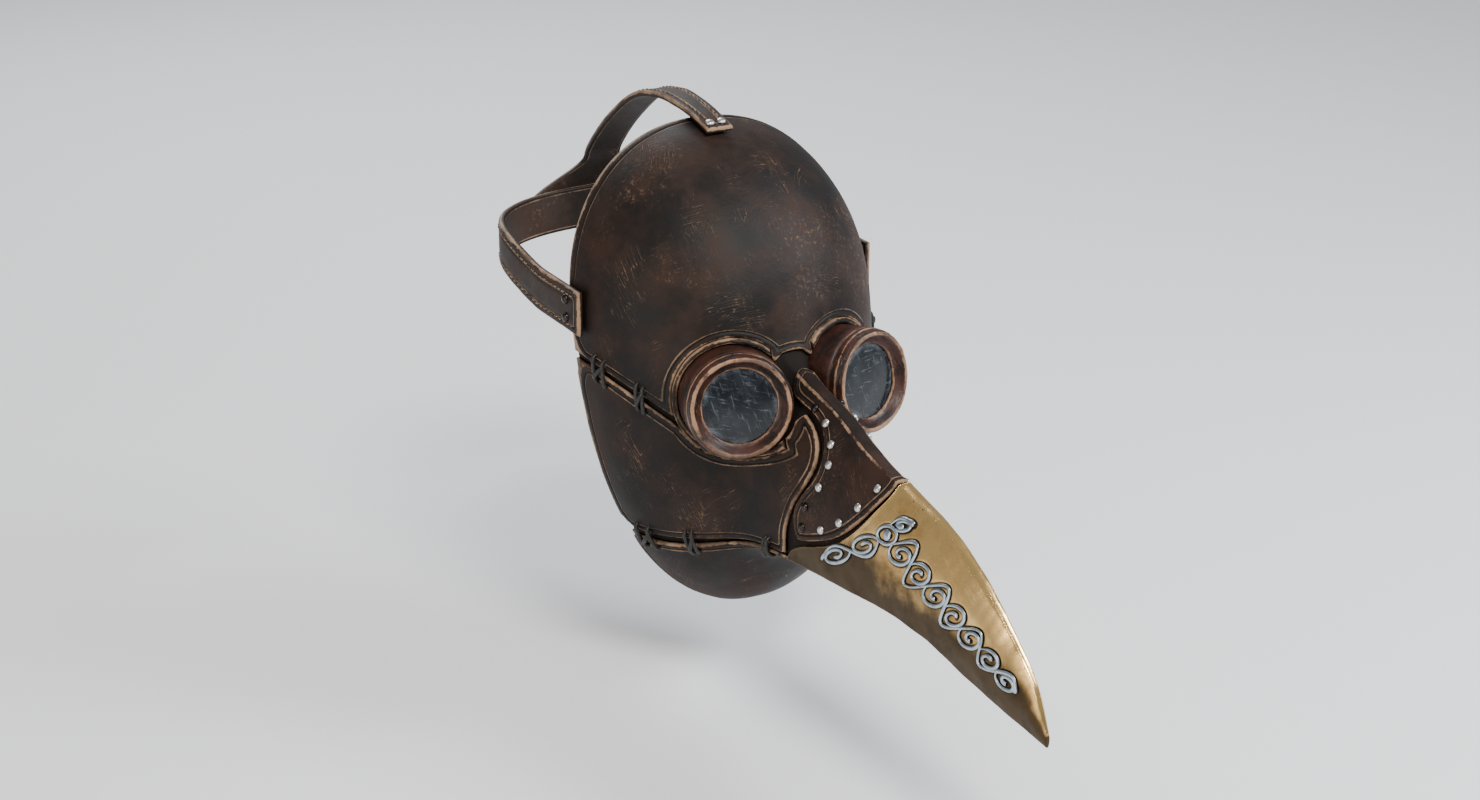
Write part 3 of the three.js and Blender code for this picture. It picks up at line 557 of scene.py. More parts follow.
# ---------------------------------------------------------------- shader trees
class Graph:
    """Adds and links the nodes of one shader tree."""

    def __init__(self, tree: bpy.types.NodeTree) -> None:
        """Starts on an empty tree."""
        self.tree = tree

    def add(self, kind: str, inputs: Optional[dict] = None, **settings: object) -> bpy.types.Node:
        """Adds a node.

        Args:
            kind: the node's type.
            inputs: sockets to feed, by name or number, with a value or another socket.
            settings: the node's own properties.

        Returns:
            The node.
        """
        node = self.tree.nodes.new(kind)
        for key, value in settings.items():
            setattr(node, key, value)
        for key, value in (inputs or {}).items():
            self.feed(node.inputs[key], value)
        return node

    def feed(self, socket: Socket, value: object) -> None:
        """Links a socket to another, or sets its value."""
        if isinstance(value, bpy.types.NodeSocket):
            self.tree.links.new(value, socket)
        else:
            socket.default_value = value

    def math(self, operation: str, a: object, b: object = 0.0, clamp: bool = False) -> Socket:
        """Result of a math node."""
        return self.add("ShaderNodeMath", {0: a, 1: b}, operation=operation, use_clamp=clamp).outputs[0]

    def ramp(self, value: object, low: object, high: object, start: float = 0.0, end: float = 1.0) -> Socket:
        """Smooth ramp of a value from start at low to end at high."""
        sockets = {"Value": value, "From Min": low, "From Max": high, "To Min": start, "To Max": end}
        return self.add("ShaderNodeMapRange", sockets, interpolation_type="SMOOTHSTEP").outputs[0]

    def mix(self, factor: object, a: object, b: object) -> Socket:
        """Mix of two colours."""
        node = self.add("ShaderNodeMix", data_type="RGBA")
        for socket, value in zip((node.inputs[0], node.inputs[6], node.inputs[7]), (factor, a, b)):
            self.feed(socket, value if not isinstance(value, tuple) else (*value[:3], 1.0))
        return node.outputs[2]

    def noise(self, vector: Socket, scale: object, detail: float = 4.0, roughness: float = 0.55) -> Socket:
        """Value of a noise texture."""
        sockets = {"Vector": vector, "Scale": scale, "Detail": detail, "Roughness": roughness}
        return self.add("ShaderNodeTexNoise", sockets).outputs[0]

    def attribute(self, name: str) -> Socket:
        """Value of a point attribute."""
        return self.add("ShaderNodeAttribute", attribute_name=name).outputs["Fac"]

    def turned(self, vector: Socket, angles: tuple, scale: tuple) -> Socket:
        """Coordinates turned and then stretched."""
        turn = self.add("ShaderNodeVectorRotate", {"Vector": vector, "Rotation": angles}, rotation_type="EULER_XYZ")
        return self.add("ShaderNodeMapping", {"Vector": turn.outputs[0], "Scale": scale}).outputs[0]


class EffectGroup:
    """A shader node group with named inputs and outputs, built once."""

    NAME = "effect"
    INPUTS: dict[str, float] = {}
    OUTPUTS: tuple[str, ...] = ()

    def __init__(self) -> None:
        """Makes the group and its sockets, then builds its inside."""
        self.tree = bpy.data.node_groups.new(self.NAME, "ShaderNodeTree")
        self.tree.interface.new_socket("Vector", in_out="INPUT", socket_type="NodeSocketVector")
        for name, value in self.INPUTS.items():
            socket = self.tree.interface.new_socket(name, in_out="INPUT", socket_type="NodeSocketFloat")
            socket.default_value = value
        for name in self.OUTPUTS:
            self.tree.interface.new_socket(name, in_out="OUTPUT", socket_type="NodeSocketFloat")
        graph = Graph(self.tree)
        self.inputs = graph.add("NodeGroupInput").outputs
        self.results = graph.add("NodeGroupOutput").inputs
        self.build(graph)

    def build(self, g: Graph) -> None:
        """Builds the inside of the group."""
        raise NotImplementedError

    def use(self, g: Graph, vector: Socket, **values: object) -> bpy.types.Node:
        """Places the group in a material.

        Args:
            g: the material's graph.
            vector: coordinates.
            values: its other inputs, with _ for a space in a name.

        Returns:
            The group's node.
        """
        node = g.add("ShaderNodeGroup", node_tree=self.tree)
        g.feed(node.inputs["Vector"], vector)
        for key, value in values.items():
            g.feed(node.inputs[key.replace("_", " ")], value)
        return node


class EdgeWear(EffectGroup):
    """Pale band along an edge, broken up along its length; it is rubbed wear, and on the lip beside a tooled line it is
    partly a painted highlight.
    """

    NAME = "edge_wear"
    INPUTS = {"Edge": 0.0, "Width": 1.4, "Amount": 1.0}
    OUTPUTS = ("Wear",)

    def build(self, g: Graph) -> None:
        """Builds the inside of the group."""
        i = self.inputs
        fine = g.math("SUBTRACT", g.noise(i["Vector"], 420.0, 5.0, 0.7), 0.5)
        coarse = g.math("SUBTRACT", g.noise(i["Vector"], 90.0, 3.0), 0.5)
        rough = g.math("ADD", g.math("MULTIPLY", fine, 2.2), g.math("MULTIPLY", coarse, 2.6))
        shift = g.math("MULTIPLY", rough, i["Width"])
        edge = g.math("ADD", i["Edge"], shift)
        band = g.ramp(edge, g.math("MULTIPLY", i["Width"], 0.45), i["Width"], 1.0, 0.0)
        strength = g.ramp(g.noise(i["Vector"], 60.0, 4.0, 0.65), 0.38, 0.6, 0.3, 1.0)
        wear = g.math("MULTIPLY", g.math("MULTIPLY", band, strength), i["Amount"], clamp=True)
        g.feed(self.results["Wear"], wear)


class LeatherGrain(EffectGroup):
    """Pebbled grain with wrinkles, and the slow colour changes of old leather."""

    NAME = "leather_grain"
    INPUTS = {"Grain": 800.0}
    OUTPUTS = ("Height", "Mottle", "Bloom")

    def build(self, g: Graph) -> None:
        """Builds the inside of the group."""
        i = self.inputs
        bend = g.add("ShaderNodeTexNoise", {"Vector": i["Vector"], "Scale": 220.0, "Detail": 2.0})
        push = g.add("ShaderNodeVectorMath", {0: bend.outputs[1], "Scale": 0.0016}, operation="SCALE").outputs[0]
        moved = g.add("ShaderNodeVectorMath", {0: i["Vector"], 1: push}, operation="ADD").outputs[0]
        cell = {"Vector": moved, "Scale": i["Grain"]}
        pebble = g.add("ShaderNodeTexVoronoi", cell, feature="SMOOTH_F1").outputs[0]
        wrinkle = g.noise(moved, 130.0, 6.0, 0.65)
        height = g.math("ADD", g.math("MULTIPLY", pebble, -0.5), g.math("MULTIPLY", wrinkle, 1.3))
        g.feed(self.results["Height"], height)
        blotch = g.noise(i["Vector"], 24.0, 7.0, 0.66)
        g.feed(self.results["Mottle"], g.ramp(blotch, 0.38, 0.66))
        g.feed(self.results["Bloom"], g.ramp(g.noise(moved, 13.0, 5.0, 0.6), 0.5, 0.7))


class Scuffs(EffectGroup):
    """Rubbed specks in patches and long thin scratches."""

    NAME = "scuffs"
    INPUTS = {"Amount": 1.0}
    OUTPUTS = ("Scuff", "Scratch")
    DIRECTIONS = (
        ((0.2, 0.4, 0.3), (900.0, 34.0, 60.0)),
        ((1.1, -0.5, 0.9), (1100.0, 48.0, 48.0)),
        ((-0.4, 1.3, -1.2), (1000.0, 40.0, 70.0)),
    )

    def build(self, g: Graph) -> None:
        """Builds the inside of the group."""
        i = self.inputs
        patch = g.ramp(g.noise(i["Vector"], 21.0, 5.0, 0.62), 0.5, 0.68)
        speck = g.ramp(g.noise(i["Vector"], 480.0, 8.0, 0.82), 0.53, 0.66)
        scuff = g.math("MULTIPLY", g.math("MULTIPLY", patch, speck), i["Amount"], clamp=True)
        g.feed(self.results["Scuff"], scuff)
        total: object = 0.0
        for angles, scale in self.DIRECTIONS:
            streak = g.noise(g.turned(i["Vector"], angles, scale), 1.0, 1.0, 0.5)
            line = g.ramp(g.math("ABSOLUTE", g.math("SUBTRACT", streak, 0.5)), 0.0, 0.012, 1.0, 0.0)
            where = g.ramp(g.noise(g.turned(i["Vector"], angles, (1.0, 1.0, 1.0)), 34.0, 2.0), 0.58, 0.7)
            total = g.math("ADD", total, g.math("MULTIPLY", line, where))
        g.feed(self.results["Scratch"], g.math("MULTIPLY", total, i["Amount"], clamp=True))


class Grime(EffectGroup):
    """Dirt that gathers in patches on metal, with fine pits."""

    NAME = "grime"
    INPUTS = {"Scale": 60.0}
    OUTPUTS = ("Dirt", "Pits")

    def build(self, g: Graph) -> None:
        """Builds the inside of the group."""
        i = self.inputs
        g.feed(self.results["Dirt"], g.ramp(g.noise(i["Vector"], i["Scale"], 8.0, 0.7), 0.42, 0.7))
        fine = g.noise(i["Vector"], g.math("MULTIPLY", i["Scale"], 9.0), 3.0, 0.6)
        g.feed(self.results["Pits"], g.ramp(fine, 0.62, 0.72))


@dataclass
class Effects:
    """The shared node groups."""

    wear: EdgeWear = field(default_factory=EdgeWear)
    grain: LeatherGrain = field(default_factory=LeatherGrain)
    scuffs: Scuffs = field(default_factory=Scuffs)
    grime: Grime = field(default_factory=Grime)


EFFECTS = Effects()
Colour = tuple[float, float, float]
PALE_TAN: Colour = (0.30, 0.19, 0.115)
PAINTED_SHADE_BLACK: Colour = (0.004, 0.0035, 0.003)


def blank_material(name: str, plain: dict[str, object]) -> tuple[bpy.types.Material, Graph, bpy.types.Node, Socket]:
    """A material with its shader.

    Args:
        name: the material's name.
        plain: values of the shader's own sockets.

    Returns:
        The material, its graph, its shader and its object coordinates.
    """
    material = bpy.data.materials.new(name)
    material.use_nodes = True
    material.node_tree.nodes.clear()
    g = Graph(material.node_tree)
    shader = g.add("ShaderNodeBsdfPrincipled", plain)
    g.add("ShaderNodeOutputMaterial", {"Surface": shader.outputs[0]})
    return material, g, shader, g.add("ShaderNodeTexCoord").outputs["Object"]


def bump(g: Graph, shader: bpy.types.Node, height: Socket, depth: float, strength: float = 0.6) -> None:
    """Feeds a height, with its depth in millimetres, to a shader's normal."""
    node = g.add("ShaderNodeBump", {"Height": height, "Distance": depth * MM, "Strength": strength})
    g.feed(shader.inputs["Normal"], node.outputs[0])


@dataclass(frozen=True)
class LeatherFinish:
    """Old waxed leather with rubbed edges, a tooled line and scuffs; painted shade darkens the tooled line and faces
    marked outer, and a pale line on the lip beside the tooled line is partly a painted highlight.
    """

    name: str
    deep: Colour = (0.0075, 0.006, 0.0054)
    warm: Colour = (0.029, 0.0145, 0.0095)
    bloom: Colour = (0.022, 0.0215, 0.022)
    worn: Colour = PALE_TAN
    grain: float = 800.0
    edge_width: float = 1.0
    crease_width: float = 0.0
    tooled: float = 2.9
    scuff: float = 1.0
    roughness: float = 0.5
    grain_depth: float = 0.22

    def build(self) -> bpy.types.Material:
        """Makes the material."""
        m, g, shader, place = blank_material(self.name, {"Specular IOR Level": 0.17})
        grain = EFFECTS.grain.use(g, place, Grain=self.grain).outputs
        scuffs = EFFECTS.scuffs.use(g, place, Amount=self.scuff).outputs
        edge = g.attribute("edge")
        rubbed: object = 0.0
        if self.edge_width:
            rubbed = EFFECTS.wear.use(g, place, Edge=edge, Width=self.edge_width).outputs[0]
        # pale line on the lip beside the tooled line: partly rubbed wear, partly a painted highlight
        beside = g.math("ABSOLUTE", g.math("SUBTRACT", edge, self.tooled + 0.75))
        lip = EFFECTS.wear.use(g, place, Edge=beside, Width=0.34, Amount=0.7).outputs[0]
        fold: object = 0.0
        if self.crease_width:
            fold = EFFECTS.wear.use(g, place, Edge=g.attribute("crease"), Width=self.crease_width).outputs[0]
        groove = g.ramp(g.math("ABSOLUTE", g.math("SUBTRACT", edge, self.tooled)), 0.25, 0.75, 1.0, 0.0)
        colour = g.mix(grain["Mottle"], self.deep, self.warm)
        colour = g.mix(g.math("MULTIPLY", grain["Bloom"], 0.55), colour, self.bloom)
        marks = g.math("MAXIMUM", g.math("MULTIPLY", scuffs["Scuff"], 0.5), g.math("MULTIPLY", scuffs["Scratch"], 0.5))
        colour = g.mix(marks, colour, self.worn)
        # painted shade: the tooled groove, and faces marked outer, are darkened towards black
        dark = g.math("MAXIMUM", g.math("MULTIPLY", groove, 0.85), g.math("MULTIPLY", g.attribute("outer"), 0.9))
        colour = g.mix(dark, colour, PAINTED_SHADE_BLACK)
        pale = g.math("MAXIMUM", g.math("MAXIMUM", rubbed, lip), fold)
        g.feed(shader.inputs["Base Color"], g.mix(g.math("MULTIPLY", pale, 0.92), colour, self.worn))
        rough = g.math("ADD", self.roughness, g.math("MULTIPLY", grain["Mottle"], 0.12))
        rough = g.math("SUBTRACT", rough, g.math("MULTIPLY", grain["Bloom"], 0.1))
        g.feed(shader.inputs["Roughness"], g.math("ADD", rough, g.math("MULTIPLY", marks, 0.35), clamp=True))
        height = g.math("SUBTRACT", grain["Height"], g.math("MULTIPLY", scuffs["Scratch"], 0.5))
        bump(g, shader, height, self.grain_depth)
        return m


@dataclass(frozen=True)
class BezelFinish:
    """Red-brown enamelled metal rings, rubbed to tan on their crests."""

    name: str = "bezel_enamel"
    deep: Colour = (0.0095, 0.0042, 0.0032)
    warm: Colour = (0.045, 0.0145, 0.009)
    worn: Colour = (0.33, 0.185, 0.105)

    def build(self) -> bpy.types.Material:
        """Makes the material."""
        m, g, shader, place = blank_material(self.name, {"Specular IOR Level": 0.28, "Coat Roughness": 0.3})
        grain = EFFECTS.grain.use(g, place, Grain=520.0).outputs
        scuffs = EFFECTS.scuffs.use(g, place, Amount=1.0).outputs
        crest = EFFECTS.wear.use(g, place, Edge=g.attribute("edge"), Width=0.75, Amount=0.9).outputs[0]
        colour = g.mix(g.ramp(g.noise(place, 75.0, 6.0, 0.68), 0.36, 0.62), self.deep, self.warm)
        rubs = g.math("MAXIMUM", g.math("MULTIPLY", scuffs["Scuff"], 0.6), g.math("MULTIPLY", scuffs["Scratch"], 0.6))
        colour = g.mix(rubs, colour, self.worn)
        g.feed(shader.inputs["Base Color"], g.mix(crest, colour, self.worn))
        g.feed(shader.inputs["Coat Weight"], g.math("MULTIPLY", g.math("SUBTRACT", 1.0, crest), 0.12))
        g.feed(shader.inputs["Roughness"], g.ramp(grain["Mottle"], 0.0, 1.0, 0.42, 0.6))
        bump(g, shader, grain["Height"], 0.3, 0.7)
        return m


@dataclass(frozen=True)
class BrassFinish:
    """Brass, rubbed bright along the ridge with a painted highlight there, painted shade low down and towards the tip,
    and dark patina round the scrolls.
    """

    name: str = "beak_brass"
    bright: Colour = (0.92, 0.60, 0.23)
    dull: Colour = (0.42, 0.235, 0.075)
    patina: Colour = (0.030, 0.020, 0.012)

    def build(self) -> bpy.types.Material:
        """Makes the material."""
        m, g, shader, place = blank_material(self.name, {"Metallic": 1.0})
        grime = EFFECTS.grime.use(g, place, Scale=55.0).outputs
        scuffs = EFFECTS.scuffs.use(g, place, Amount=1.0).outputs
        cloud = g.math("SUBTRACT", g.noise(place, 34.0, 6.0, 0.62), 0.5)
        # painted shade: low darkens the brass towards the keel and the tip; the chased outline and the chips are real
        # patina and pits
        low = g.math("ADD", g.attribute("low"), g.math("MULTIPLY", cloud, 0.75))
        dark = g.ramp(low, 0.25, 0.7)
        outline = g.ramp(g.attribute("chase"), 0.25, 1.15, 0.97, 0.0)
        crease = g.attribute("crease")
        chipped = g.math("MULTIPLY", grime["Pits"], g.ramp(crease, 0.8, 4.0, 1.0, 0.0))
        rim = g.ramp(g.attribute("edge"), 0.2, 1.1, 0.0, 1.0)
        dark = g.math("MULTIPLY", g.math("MAXIMUM", g.math("MAXIMUM", dark, outline), chipped, clamp=True), rim)
        # ridge crease made bright: partly rubbed brass, partly a painted highlight
        polish_and_highlight = g.ramp(crease, 0.5, 2.4, 1.0, 0.0)
        colour = g.mix(g.math("MULTIPLY", grime["Dirt"], 0.75), self.bright, self.dull)
        colour = g.mix(polish_and_highlight, colour, self.bright)
        colour = g.mix(g.math("MULTIPLY", dark, 0.96), colour, self.patina)
        g.feed(shader.inputs["Base Color"], colour)
        rough = g.math("ADD", g.math("MULTIPLY", grime["Dirt"], 0.16), g.math("MULTIPLY", dark, 0.16))
        rough = g.math("ADD", rough, g.math("MULTIPLY", scuffs["Scratch"], 0.2))
        g.feed(shader.inputs["Roughness"], g.math("ADD", g.ramp(polish_and_highlight, 0.0, 1.0, 0.24, 0.15), rough, clamp=True))
        height = g.math("SUBTRACT", g.math("MULTIPLY", g.noise(place, 160.0, 4.0), 0.6), chipped)
        bump(g, shader, g.math("SUBTRACT", height, g.math("MULTIPLY", scuffs["Scratch"], 0.35)), 0.16, 0.5)
        return m


@dataclass(frozen=True)
class MetalFinish:
    """Plain metal with patchy grime, painted shade round its foot where rise is low, and fine scratches."""

    name: str
    bright: Colour
    dirty: Colour
    roughness: float = 0.34
    metallic: float = 1.0
    edge_dark: float = 0.0

    def build(self) -> bpy.types.Material:
        """Makes the material."""
        m, g, shader, place = blank_material(self.name, {"Metallic": self.metallic})
        grime = EFFECTS.grime.use(g, place, Scale=210.0).outputs
        dirt_and_foot_shade = g.math("MULTIPLY", grime["Dirt"], 0.5)
        # painted shade: the foot of a raised piece, where rise is low, is darkened
        if self.edge_dark:
            dirt_and_foot_shade = g.math("MAXIMUM", dirt_and_foot_shade, g.ramp(g.attribute("rise"), 0.05, self.edge_dark, 1.0, 0.0))
        g.feed(shader.inputs["Base Color"], g.mix(dirt_and_foot_shade, self.bright, self.dirty))
        g.feed(shader.inputs["Roughness"], g.math("ADD", self.roughness, g.math("MULTIPLY", dirt_and_foot_shade, 0.3), clamp=True))
        bump(g, shader, g.noise(place, 700.0, 4.0, 0.6), 0.08, 0.45)
        return m


@dataclass(frozen=True)
class GlassFinish:
    """Smoked lens glass, scratched all over and dusty round its rim."""

    name: str = "smoked_glass"
    smoke: Colour = (0.005, 0.007, 0.010)
    dust: Colour = (0.15, 0.18, 0.21)

    def build(self) -> bpy.types.Material:
        """Makes the material."""
        plain = {"Metallic": 0.0, "Transmission Weight": 0.25, "IOR": 1.5, "Specular IOR Level": 0.3}
        m, g, shader, place = blank_material(self.name, plain)
        rubs = g.noise(g.turned(place, (0.3, 0.2, 0.5), (700.0, 1.0, 90.0)), 1.0, 4.0, 0.7)
        cross = g.noise(g.turned(place, (0.3, 1.4, 0.5), (600.0, 1.0, 110.0)), 1.0, 4.0, 0.7)
        marks = g.ramp(g.math("MAXIMUM", rubs, cross), 0.54, 0.74)
        cloud = g.ramp(g.noise(place, 95.0, 5.0, 0.65), 0.4, 0.75)
        ring = g.ramp(g.attribute("edge"), 0.5, 4.2, 0.85, 0.0)
        film = g.math("ADD", g.math("MULTIPLY", marks, 0.5), g.math("MULTIPLY", cloud, 0.12))
        film = g.math("ADD", film, g.math("MULTIPLY", ring, cloud), clamp=True)
        g.feed(shader.inputs["Base Color"], g.mix(film, self.smoke, self.dust))
        g.feed(shader.inputs["Roughness"], g.ramp(film, 0.0, 0.6, 0.16, 0.55))
        bump(g, shader, marks, 0.06, 0.5)
        return m


@dataclass(frozen=True)
class CordFinish:
    """Waxed black lace, with its twist as a fine slanting relief."""

    name: str = "black_lace"
    colour: Colour = (0.0065, 0.0055, 0.005)
    worn: Colour = (0.05, 0.038, 0.03)

    def build(self) -> bpy.types.Material:
        """Makes the material."""
        m, g, shader, place = blank_material(self.name, {"Specular IOR Level": 0.5})
        fibre = g.noise(g.turned(place, (0.6, 0.5, 0.2), (1500.0, 260.0, 260.0)), 1.0, 4.0)
        g.feed(shader.inputs["Base Color"], g.mix(g.ramp(fibre, 0.6, 0.75), self.colour, self.worn))
        g.feed(shader.inputs["Roughness"], g.ramp(fibre, 0.3, 0.7, 0.42, 0.7))
        bump(g, shader, fibre, 0.25, 0.8)
        return m


@dataclass(frozen=True)
class ThreadFinish:
    """Linen thread that has darkened."""

    name: str = "stitch_thread"
    pale: Colour = (0.30, 0.205, 0.125)
    dark: Colour = (0.07, 0.045, 0.028)

    def build(self) -> bpy.types.Material:
        """Makes the material."""
        m, g, shader, place = blank_material(self.name, {"Specular IOR Level": 0.3})
        tone = g.noise(place, 260.0, 4.0, 0.7)
        g.feed(shader.inputs["Base Color"], g.mix(g.ramp(tone, 0.35, 0.65), self.dark, self.pale))
        g.feed(shader.inputs["Roughness"], g.ramp(tone, 0.2, 0.8, 0.6, 0.85))
        bump(g, shader, g.noise(place, 2600.0, 2.0), 0.12, 0.6)
        return m


@dataclass
class Wardrobe:
    """Every material of the mask, built once."""

    panel: bpy.types.Material = field(default_factory=lambda: LeatherFinish("panel_leather").build())
    saddle: bpy.types.Material = field(default_factory=lambda: LeatherFinish(
        "saddle_leather", deep=(0.010, 0.0068, 0.0056), warm=(0.032, 0.0155, 0.0105), scuff=0.8, crease_width=0.8).build())
    strap: bpy.types.Material = field(default_factory=lambda: LeatherFinish(
        "strap_leather", deep=(0.011, 0.0075, 0.006), warm=(0.036, 0.019, 0.0125), grain=950.0,
        edge_width=1.1, tooled=3.4).build())
    collar: bpy.types.Material = field(default_factory=lambda: LeatherFinish(
        "collar_leather", edge_width=0.55, tooled=30.0, warm=(0.04, 0.018, 0.012)).build())
    lining: bpy.types.Material = field(default_factory=lambda: LeatherFinish(
        "lining_suede", deep=(0.045, 0.028, 0.019), warm=(0.095, 0.06, 0.038), bloom=(0.07, 0.052, 0.04),
        worn=(0.28, 0.19, 0.125), grain=1300.0, scuff=0.35, roughness=0.8, edge_width=0.5, tooled=60.0).build())
    former: bpy.types.Material = field(default_factory=lambda: LeatherFinish(
        "former_leather", deep=(0.006, 0.0045, 0.004), warm=(0.013, 0.008, 0.006), roughness=0.75, tooled=60.0,
        edge_width=0.0).build())
    bezel: bpy.types.Material = field(default_factory=lambda: BezelFinish().build())
    brass: bpy.types.Material = field(default_factory=lambda: BrassFinish().build())
    silver: bpy.types.Material = field(default_factory=lambda: MetalFinish(
        "scroll_silver", (0.47, 0.545, 0.60), (0.03, 0.034, 0.038), 0.28, 1.0, 0.5).build())
    pewter: bpy.types.Material = field(default_factory=lambda: MetalFinish(
        "rivet_pewter", (0.62, 0.60, 0.57), (0.10, 0.085, 0.07), 0.3, 1.0, 0.35).build())
    steel: bpy.types.Material = field(default_factory=lambda: MetalFinish(
        "rivet_blackened", (0.045, 0.04, 0.038), (0.012, 0.010, 0.009), 0.26).build())
    glass: bpy.types.Material = field(default_factory=lambda: GlassFinish().build())
    rubber: bpy.types.Material = field(default_factory=lambda: MetalFinish(
        "gasket_rubber", (0.02, 0.019, 0.018), (0.035, 0.032, 0.03), 0.7, 0.0).build())
    cord: bpy.types.Material = field(default_factory=lambda: CordFinish().build())
    thread: bpy.types.Material = field(default_factory=lambda: ThreadFinish().build())


WARDROBE = Wardrobe()


# ---------------------------------------------------------------- layers, eyes and outlines shared with the CAD model
LEATHER = 2.6
LINING_UNDER = -4.8
BRASS_WALL = 1.4
SEAM = 0.014
RNG_SEED = 7


@dataclass(frozen=True)
class Eye:
    """Frame of an eyepiece: heights run along the sight line, 0 on the crest, angles from the nose."""

    side: Side
    x: float = 29.4
    z: float = -25.5
    stand_off: float = 22.3
    splay: float = 19.0
    tilt: float = 8.0
    cup_radius: float = 25.6
    cup_bore: float = 21.5
    bezel_height: float = 8.0
    collar_inner: float = 26.2
    collar_outer: float = 28.7
    nose_reach: float = 19.5

    @property
    def axes(self) -> tuple[Array, Array, Array, Array]:
        """Crest point, nose direction, sight direction and the third direction."""
        s, splay, tilt = self.side.value, math.radians(self.splay), math.radians(self.tilt)
        sight = np.array([s * math.sin(splay) * math.cos(tilt), -math.cos(splay) * math.cos(tilt), math.sin(tilt)])
        depth = float(SKIN.face_depth(np.array(self.x), np.array(self.z)))
        crest = np.array([s * self.x, SKIN.lean * self.z - depth, self.z]) + sight * self.stand_off
        nose = unit(np.array([-s, 0.0, 0.0]) + sight * s * sight[0])
        return crest, nose, sight, np.cross(nose, sight)

    def place(self, radius: Array, angle: Array, height: Array) -> Array:
        """Points in the mask's frame."""
        crest, nose, sight, third = self.axes
        r, a, h = (np.asarray(v, float)[..., None] for v in np.broadcast_arrays(radius, angle, height))
        return crest + r * np.cos(a) * nose + r * np.sin(a) * third + h * sight

    def clear(self, points: Array, collar: bool) -> Array:
        """Distance of points outside the eyepiece's hole, negative inside it.

        Args:
            points: places in the mask's frame.
            collar: whether the hole leaves room for the collar too.

        Returns:
            One distance for each point.
        """
        crest, nose, _, third = self.axes
        a, b = (points - crest) @ nose, (points - crest) @ third
        radius = np.hypot(a, b)
        gap = 0.3
        bore = radius - self.cup_radius - gap
        if not collar:
            return bore
        return np.minimum(np.maximum(radius - self.collar_outer - gap, a - self.nose_reach), bore)

    def skin_under(self, radius: Array, angle: Array) -> tuple[Array, Array]:
        """Station and girth of the skin along the sight line from a radius and an angle."""
        crest, nose, _, third = self.axes
        low, high = sorted((0.02 * self.side.value, 0.8 * self.side.value))
        drawing = Drawing(crest, nose, third, (-0.45, 0.95), (low, high))
        radius, angle = np.broadcast_arrays(np.asarray(radius, float), np.asarray(angle, float))
        flat = np.stack([radius * np.cos(angle), radius * np.sin(angle)], axis=-1)
        return drawing.locate(flat)


EYES = tuple(Eye(side) for side in Side)

CHEEK_FRONT = ((-0.32, 0.763), (-0.315, 0.66), (-0.36, 0.53), (-0.425, 0.42), (-0.465, 0.31), (-0.445, 0.22),
               (-0.375, 0.172), (-0.28, 0.15))
CHEEK_TOP = ((1, 0.497), (0.62, 0.504), (0.36, 0.504), (0.2, 0.455), (-0.04, 0.37), (-0.14, 0.31), (-0.2, 0.235), (-0.28, 0.15))
SADDLE_REAR = ((-0.07, 0), (-0.09, 0.05), (-0.15, 0.12), (-0.31, 0.125), (-0.41, 0.14), (-0.48, 0.19),
               (-0.505, 0.28), (-0.48, 0.37), (-0.42, 0.46), (-0.385, 0.54), (-0.392, 0.61), (-0.425, 0.66))
SADDLE_FRONT = ((-1.0, 0), (-0.99, 0.08), (-0.92, 0.25), (-0.82, 0.42), (-0.68, 0.56), (-0.52, 0.64),
                (-0.455, 0.66))
SADDLE_FRONT_AT = Track([(girth, station) for station, girth in SADDLE_FRONT])


def straight(start: Sequence[float], end: Sequence[float], steps: int = 60) -> Array:
    """Points of a straight line, without its end."""
    return np.linspace(start, end, steps, endpoint=False)


def forehead_outline() -> Array:
    """Outline of the forehead."""
    reach = Seam.UPPER.value - SEAM / 2
    girth = np.linspace(-reach, reach, 120)
    low = np.stack([0.06 + 0.3 * (girth / reach) ** 2, girth], axis=1)
    corner = tuple(low[0])
    return np.vstack([low, straight((low[-1][0], reach), (1, reach)), straight((1, reach), (1, -reach), 120),
                      straight((1, -reach), corner)])


def cheek_outline(side: Side) -> Array:
    """Outline of a cheek."""
    low = Seam.LOWER.value - SEAM / 2
    front, top = spline(CHEEK_FRONT), spline(CHEEK_TOP)[::-1]
    line = np.vstack([straight((1, low), CHEEK_FRONT[0]), front[:-1], top[:-1], straight((1, 0.497), (1, low))])
    return line * (1, side.value)


def chin_outline() -> Array:
    """Outline of the chin."""
    low, high = Seam.LOWER.value + SEAM / 2, 2 - Seam.LOWER.value - SEAM / 2
    front = CHEEK_FRONT[0][0]
    return np.vstack([straight((front, low), (1, low)), straight((1, low), (1, high)),
                      straight((1, high), (front, high)), straight((front, high), (front, low))])


def saddle_outline() -> Array:
    """Outline of the saddle."""
    rear = spline(SADDLE_REAR)
    girth = np.linspace(SADDLE_FRONT[-1][1], 0, 70)
    front = np.stack([SADDLE_FRONT_AT(girth)[:, 0], girth], axis=1)
    half = np.vstack([rear[:-1], straight(SADDLE_REAR[-1], SADDLE_FRONT[-1], 8), front])
    return np.vstack([half, (half * (1, -1))[::-1][1:-1]])


